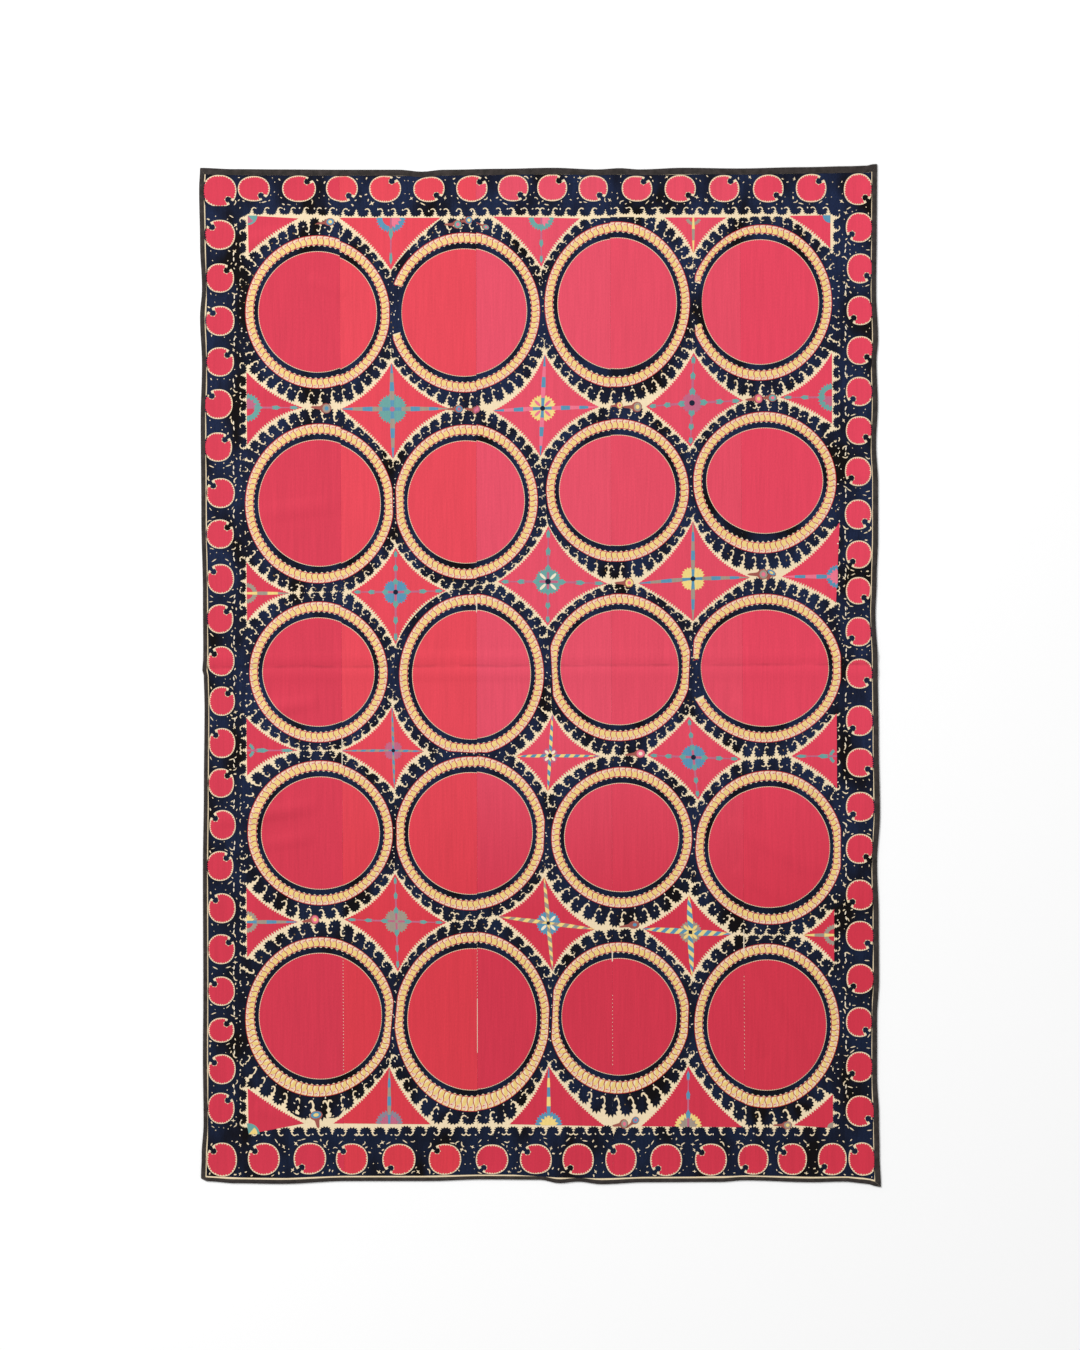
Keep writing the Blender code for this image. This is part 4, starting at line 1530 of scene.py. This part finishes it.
# %% Buds, in millimetres
BUD_SCALE = 1.25 * MM
BUDS = (
    # u, v, half length, half width, turn in degrees, two colours
    (-685, 836, 26, 12, -5, "beige", "blue"),
    (-672, 1415, 24, 9, 8, "blue", "yellow"),
    (-272, 1415, 22, 10, 0, "teal", "pink"),
    (-236, 1426, 20, 9, 10, "blue", "yellow"),
    (-180, 1408, 18, 6, -25, "teal", "pink"),
    (-268, 837, 22, 9, 0, "blue", "lilac"),
    (-212, 835, 20, 9, -8, "lilac", "pink"),
    (238, 842, 16, 8, 5, "yellow", "pink"),
    (288, 838, 24, 12, 0, "beige", "yellow"),
    (668, 862, 22, 11, 5, "pink", "yellow"),
    (710, 866, 24, 9, 0, "teal", "pink"),
    (262, 288, 24, 11, 0, "yellow", "pink"),
    (680, 315, 26, 12, 0, "beige", "pink"),
    (718, 312, 14, 12, 60, "blue", "yellow"),
    (296, -247, 26, 10, 5, "pink", "cream"),
    (-718, -765, 22, 11, 10, "pink", "yellow"),
    (278, -783, 26, 9, 8, "brown", "blue"),
    (-697, -1388, 22, 15, 100, "blue", "yellow"),
    (250, -1405, 20, 11, 10, "beige", "pink"),
    (288, -1400, 20, 8, 40, "blue", "lilac"),
    (757, -1405, 24, 9, 0, "beige", "yellow"),
)
for u, v, half_length, half_width, turn, outer, inner in BUDS:
    angle = math.radians(turn)
    leaf = ((-1.0, 0.0), (-0.8, 0.22), (-0.4, 0.30), (-0.05, 0.40), (0.2, 0.9), (0.5, 1.1), (0.82, 0.9),
            (1.0, 0.35), (1.0, -0.35), (0.82, -0.9), (0.5, -1.1), (0.2, -0.9), (-0.05, -0.40), (-0.4, -0.30),
            (-0.8, -0.22))
    points = [(x * half_length * BUD_SCALE, y * half_width * BUD_SCALE) for x, y in leaf]
    patch("motif", turned(points, (u * MM, v * MM), angle), HEIGHT["spine"], MOTIF["brown"])
    heart = polar((u * MM, v * MM), half_length * 0.56 * BUD_SCALE, angle)
    for share, colour, level in ((0.40, outer, 0), (0.20, inner, 1)):
        ring = oval(heart, half_length * share * BUD_SCALE, half_width * 2.3 * share * BUD_SCALE, 10, angle)
        patch("motif", ring, HEIGHT["leaf"] + level * LAYER, MOTIF[colour])
LEAVES = (
    # slim dark leaves: start, end and bend, in millimetres
    (-360, 1374, -303, 1436, 3),
    (-790, -1352, -716, -1382, -9),
    (-662, -1382, -612, -1352, -9),
)
for u_start, v_start, u_end, v_end, bend in LEAVES:
    begin, finish = (u_start * MM, v_start * MM), (u_end * MM, v_end * MM)
    long = math.dist(begin, finish)
    sides = [
        [(share * long, (bend * math.sin(math.pi * share) + wide * math.sin(math.pi * share)) * MM)
         for share in (0.0, 0.2, 0.4, 0.6, 0.8, 1.0)]
        for wide in (-3.5, 3.5)
    ]
    blade = sides[0] + list(reversed(sides[1][1:-1]))
    turn = math.atan2(finish[1] - begin[1], finish[0] - begin[0])
    patch("navy", turned(blade, begin, turn), HEIGHT["gold"])
print("buds:", len(BUDS), "leaves:", len(LEAVES))

# %% [markdown]
# ## Stitches and slits at the seams
# Where the silk stops short of a seam the cotton shows as a pale slit, and in the lowest row of
# roundels the joining stitches can be seen as dots. Both are small patches on the seam.

# %% Pale stitches along the seams
SEAM_MARKS = (
    # seam, v from, v to, length of a stitch, pitch, half width, in millimetres
    (0, -780, -1240, 3.0, 10, 0.9),
    (0, -195, -280, 85, 90, 1.3),
    (0, 1395, 1330, 4.0, 11, 0.9),
    (1, -800, -1010, 3.0, 10, 0.8),
    (1, -1010, -1185, 170, 180, 0.9),
    (1, 250, 200, 50, 60, 1.6),
    (2, -865, -900, 30, 40, 1.6),
    (3, -795, -875, 78, 90, 1.6),
    (3, -940, -1240, 3.0, 12, 0.8),
    (2, -1000, -1230, 3.0, 12, 0.8),
)
for seam, v_from, v_to, long, pitch, half_width in SEAM_MARKS:
    for number in range(max(1, round((v_from - v_to) / pitch))):
        v_top = (v_from - number * pitch) * MM
        v_end = v_top - long * MM
        corners = [(seam_u(seam, v) + aside * half_width * MM, v)
                   for v, aside in ((v_top, -1), (v_end, -1), (v_end, 1), (v_top, 1))]
        patch("motif", corners, HEIGHT["eye"], MOTIF["cream"])
print("seam marks:", len(SEAM_MARKS))

# %% [markdown]
# ## Cutting along the creases
# A flat patch can only follow a crease where it has points. bisect_plane adds them: planes along
# and across each crease, along the storage fold, and where the cloth climbs onto the tape. Only the
# faces near a crease are handed to each cut, which keeps the count and the time down.

# %% Fold lines cut into a flat drawing
FOLD_CUTS = (-55, -42, -28, -16, -7, 0, 7, 16, 28, 42, 55)
CREASE_CUTS = (-0.95, -0.7, -0.45, -0.2, 0.0, 0.2, 0.45, 0.7, 0.95)
CROSS_CUTS = (0.01, 0.04, 0.09, 0.17, 0.30, 0.45, 0.60, 0.75, 0.86, 0.93, 0.97, 0.99)


def faces_near(flat, start, end, reach):
    """The faces, with their edges and points, that come near a line."""
    run = (end[0] - start[0], end[1] - start[1])
    length = math.hypot(*run)
    unit = (run[0] / length, run[1] / length)
    chosen = []
    for face in flat.faces:
        alongs = []
        asides = []
        for vert in face.verts:
            du, dv = vert.co.x - start[0], vert.co.y - start[1]
            alongs.append(du * unit[0] + dv * unit[1])
            asides.append(dv * unit[0] - du * unit[1])
        if min(alongs) < length + reach and max(alongs) > -reach and min(asides) < reach and max(asides) > -reach:
            chosen.append(face)
    return list({item for face in chosen for item in (*face.verts, *face.edges, face)})


def cut(flat, geometry, point, normal):
    """One cut across some faces, which hands on the faces that it leaves."""
    made = bmesh.ops.bisect_plane(
        flat, geom=geometry, dist=1e-6, plane_co=(*point, 0.0), plane_no=(*normal, 0.0),
    )
    return made["geom"]


def cut_folds(flat):
    """All the fold lines of the cloth cut into a flat drawing."""
    half_u, half_v = WIDTH / 2, LENGTH / 2
    start, end = (-half_u, FOLD_V_LEFT), (half_u, FOLD_V_RIGHT)
    near = faces_near(flat, start, end, FOLD_REACH)
    for offset in FOLD_CUTS:
        near = cut(flat, near, (start[0], start[1] + offset * MM), (start[1] - end[1], end[0] - start[0]))
    for u_start, v_start, u_end, v_end, half_width, _ in CREASES:
        run = (u_end - u_start, v_end - v_start)
        length = math.hypot(*run)
        normal = (-run[1] / length, run[0] / length)
        near = faces_near(flat, (u_start, v_start), (u_end, v_end), half_width)
        for share in CREASE_CUTS:
            aside = share * half_width
            near = cut(flat, near, (u_start + normal[0] * aside, v_start + normal[1] * aside), normal)
        for share in CROSS_CUTS:
            near = cut(flat, near, (u_start + run[0] * share, v_start + run[1] * share), run)
    for inset in (LIFT_FULL, LIFT_END):
        for sign in (-1, 1):
            u, v = sign * (half_u - inset), sign * (half_v - inset)
            near = faces_near(flat, (u, -half_v), (u, half_v), GAP)
            cut(flat, near, (u, 0.0), (1.0, 0.0))
            near = faces_near(flat, (-half_u, v), (half_u, v), GAP)
            cut(flat, near, (0.0, v), (0.0, 1.0))


# %% [markdown]
# ## Cutting at the seams and giving thickness
# A seam is a slanting line, so the same bisect_plane cuts there and clears what lies on the other
# strip. A strip was embroidered apart from the next, so its pattern slips a few millimetres along
# the seam. Extruding all the faces of a drawing leaves walls only round its outlines, and the old
# faces become its underside.

# %% A strip's share of a drawing
SEAM_HALF = GAP / 2


def strip_only(flat, strip):
    """Cut away what lies on other strips."""
    for seam, keep_right in ((strip - 1, True), (strip, False)):
        if not 0 <= seam < len(SEAMS):
            continue
        top, bottom = SEAMS[seam]
        edge = SEAM_HALF if keep_right else -SEAM_HALF
        bmesh.ops.bisect_plane(
            flat, geom=flat.verts[:] + flat.edges[:] + flat.faces[:], dist=1e-6,
            plane_co=(bottom + edge, -LENGTH / 2, 0.0), plane_no=(LENGTH, bottom - top, 0.0),
            clear_inner=keep_right, clear_outer=not keep_right,
        )


def laid_piece(name, flat, base, slipped, materials):
    """Turn a drawing that has its thickness into an object laid on the real cloth."""
    data = bpy.data.meshes.new(name)
    flat.to_mesh(data)
    flat.free()
    points = np.empty(len(data.vertices) * 3)
    data.vertices.foreach_get("co", points)
    points = points.reshape(-1, 3)
    u, v, z = points[:, 0], points[:, 1] + slipped(points[:, 1]), points[:, 2]
    x, y, z = lay(u, v, lift(u, v) + base + z)
    data.vertices.foreach_set("co", np.stack([x, y, z], 1).ravel())
    data.shade_smooth()
    data.set_sharp_from_angle(angle=math.radians(35))
    data.update()
    for material in materials:
        data.materials.append(material)
    piece = bpy.data.objects.new(name, data)
    bpy.context.scene.collection.objects.link(piece)
    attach(piece, "root")
    return piece


def silk_piece(name, drawing, strip, materials):
    """One colour of silk on one strip."""
    flat = drawing.copy()
    strip_only(flat, strip)
    bmesh.ops.triangulate(flat, faces=flat.faces[:])
    made = bmesh.ops.extrude_face_region(flat, geom=flat.faces[:])["geom"]
    raised = {item for item in made if isinstance(item, bmesh.types.BMVert)}
    for vert in flat.verts:
        if vert not in raised:
            vert.co.z = UNDER
    bmesh.ops.recalc_face_normals(flat, faces=flat.faces[:])
    piece = laid_piece(name, flat, CLOTH, lambda v: slip_of(strip, v), materials)
    return piece


# %% Silk pieces of the five strips
join = bpy.data.meshes.new("border ground")
border_cells.to_mesh(join)
border_cells.free()
drawings["navy"].from_mesh(join)
bpy.data.meshes.remove(join)

silk_pieces = {strip: [] for strip in STRIPS}
for name, drawing in drawings.items():
    bmesh.ops.remove_doubles(drawing, verts=drawing.verts[:], dist=0.00002)
    bmesh.ops.triangulate(drawing, faces=drawing.faces[:])
    cut_folds(drawing)
    for strip in STRIPS:
        materials = {
            "red": [red_silk[strip]], "navy": [navy_silk], "gold": [gold_silk], "line": [line_silk],
            "motif": motif_silks,
        }[name]
        silk_pieces[strip].append(silk_piece(f"silk_{name}_{strip + 1}", drawing, strip, materials))
    drawing.free()
for strip, pieces in silk_pieces.items():
    print("strip", strip + 1, {piece.name: len(piece.data.polygons) for piece in pieces})

# %% [markdown]
# ## The cotton strips
# Each strip is a grid laid on the same folds as the silk. Solidify would do for the thickness, but
# the same extrusion as the silk's keeps its two faces exact. The flat size that each strip was cut to
# is printed with it.

# %% Cotton strips
GRID = 0.030


def cotton_strip(strip):
    """A loom-width strip of cotton, gridded, cut along the folds and laid."""
    cut_edge = TAPE + GAP
    top, bottom = LENGTH / 2 - cut_edge, -LENGTH / 2 + cut_edge
    rows = round((top - bottom) / GRID)
    left = [-WIDTH / 2 + cut_edge] * 2 if strip == 0 else [seam_u(strip - 1, v) + GAP / 2 for v in (bottom, top)]
    right = [WIDTH / 2 - cut_edge] * 2 if strip == 4 else [seam_u(strip, v) - GAP / 2 for v in (bottom, top)]
    columns = round((right[0] - left[0]) / GRID)
    flat = bmesh.new()
    bmesh.ops.create_grid(flat, x_segments=columns, y_segments=rows, size=0.5)
    for vert in flat.verts:
        share, up = vert.co.x + 0.5, vert.co.y + 0.5
        low = left[0] + (right[0] - left[0]) * share
        high = left[1] + (right[1] - left[1]) * share
        vert.co = (low + (high - low) * up, bottom + (top - bottom) * up, CLOTH)
    cut_folds(flat)
    bmesh.ops.triangulate(flat, faces=flat.faces[:])
    made = bmesh.ops.extrude_face_region(flat, geom=flat.faces[:])["geom"]
    raised = {item for item in made if isinstance(item, bmesh.types.BMVert)}
    for vert in flat.verts:
        if vert not in raised:
            vert.co.z = 0.0
    bmesh.ops.recalc_face_normals(flat, faces=flat.faces[:])
    piece = laid_piece(f"cotton_strip_{strip + 1}", flat, 0.0, lambda v: 0.0, [ground_cotton])
    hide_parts(f"panel_{strip + 1}")
    wide = (right[0] - left[0] + right[1] - left[1]) / 2
    return piece, (wide, top - bottom)


for strip in STRIPS:
    piece, size = cotton_strip(strip)
    print(piece.name, [round(length, 3) for length in size], len(piece.data.polygons))

# %% [markdown]
# ## The binding tape
# The tape is folded over the edge, with one leaf under the cloth and one on it. Its section is a C
# with a round fold and a faint ridge where it was pressed. The section is one face, carried along
# the edge by extruding it again and again, and its ends are mitred at the corners.

# %% Folded tape
TAPE_STEP = 0.016
RIDGE = 0.35 * MM


def tape_section(width):
    """The folded tape cut across, as depth in from the edge and height above the folds."""
    fold = [(HEM_FOLD * (1 - math.sin(math.radians(t))), HEM_FOLD * (1 - math.cos(math.radians(t))))
            for t in (0, 30, 60, 90)]
    under = [(width, 0.0)] + fold
    over = [(depth, STACK - height) for depth, height in reversed(fold)]
    face = [(width * 0.50, STACK), (width * 0.58, STACK + RIDGE), (width * 0.66, STACK), (width, STACK)]
    inner = [(width, STACK - TAPE), (TAPE, STACK - TAPE), (TAPE, TAPE), (width, TAPE)]
    return under + over + face + inner


def side_point(side, along, depth, height):
    """A point of the binding of one side, on the real cloth."""
    if side in ("left", "right"):
        u = WIDTH / 2 - depth if side == "right" else depth - WIDTH / 2
        v = along
    else:
        u = along
        v = LENGTH / 2 - depth if side == "top" else depth - LENGTH / 2
    return [float(value[0]) for value in lay(np.array([u]), np.array([v]), height)]


def tape_piece(side):
    """The tape over one edge."""
    width = BINDING[side]
    along_x = side in ("top", "bottom")
    first, last = ("left", "right") if along_x else ("bottom", "top")
    half = WIDTH / 2 if along_x else LENGTH / 2
    steps = round(2 * half / TAPE_STEP)
    section = tape_section(width)
    tape = bmesh.new()
    cap = tape.faces.new([tape.verts.new((depth, 0.0, height)) for depth, height in section])
    for index in range(steps + 1):
        station = -half + 2 * half * index / steps
        if index > 0:
            made = bmesh.ops.extrude_face_region(tape, geom=[cap])["geom"]
            if index > 1:
                bmesh.ops.delete(tape, geom=[cap], context="FACES_ONLY")
            cap = next(item for item in made if isinstance(item, bmesh.types.BMFace))
        for vert, (depth, height) in zip(cap.verts, section):
            low = depth * BINDING[first] / width + GAP - half
            high = half - depth * BINDING[last] / width - GAP
            vert.co = side_point(side, min(max(station, low), high), depth, height)
    bmesh.ops.recalc_face_normals(tape, faces=tape.faces[:])
    data = bpy.data.meshes.new(f"tape_{side}")
    tape.to_mesh(data)
    tape.free()
    data.shade_smooth()
    data.set_sharp_from_angle(angle=math.radians(40))
    data.materials.append(dark_tape)
    piece = bpy.data.objects.new(f"tape_{side}", data)
    bpy.context.scene.collection.objects.link(piece)
    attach(piece, "root")
    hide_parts(f"binding_{side}")
    return piece


for side in BINDING:
    tape = tape_piece(side)
    print(tape.name, len(tape.data.polygons))

# %% [markdown]
# ## Sizes of the finished cloth
# The box of the finished cloth is printed, with its count of polygons.

# %% Size of the finished cloth
low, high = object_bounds()
total = sum(len(piece.data.polygons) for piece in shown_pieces())
print("finished cloth, metres:", [round(size, 4) for size in high - low], "polygons:", total)
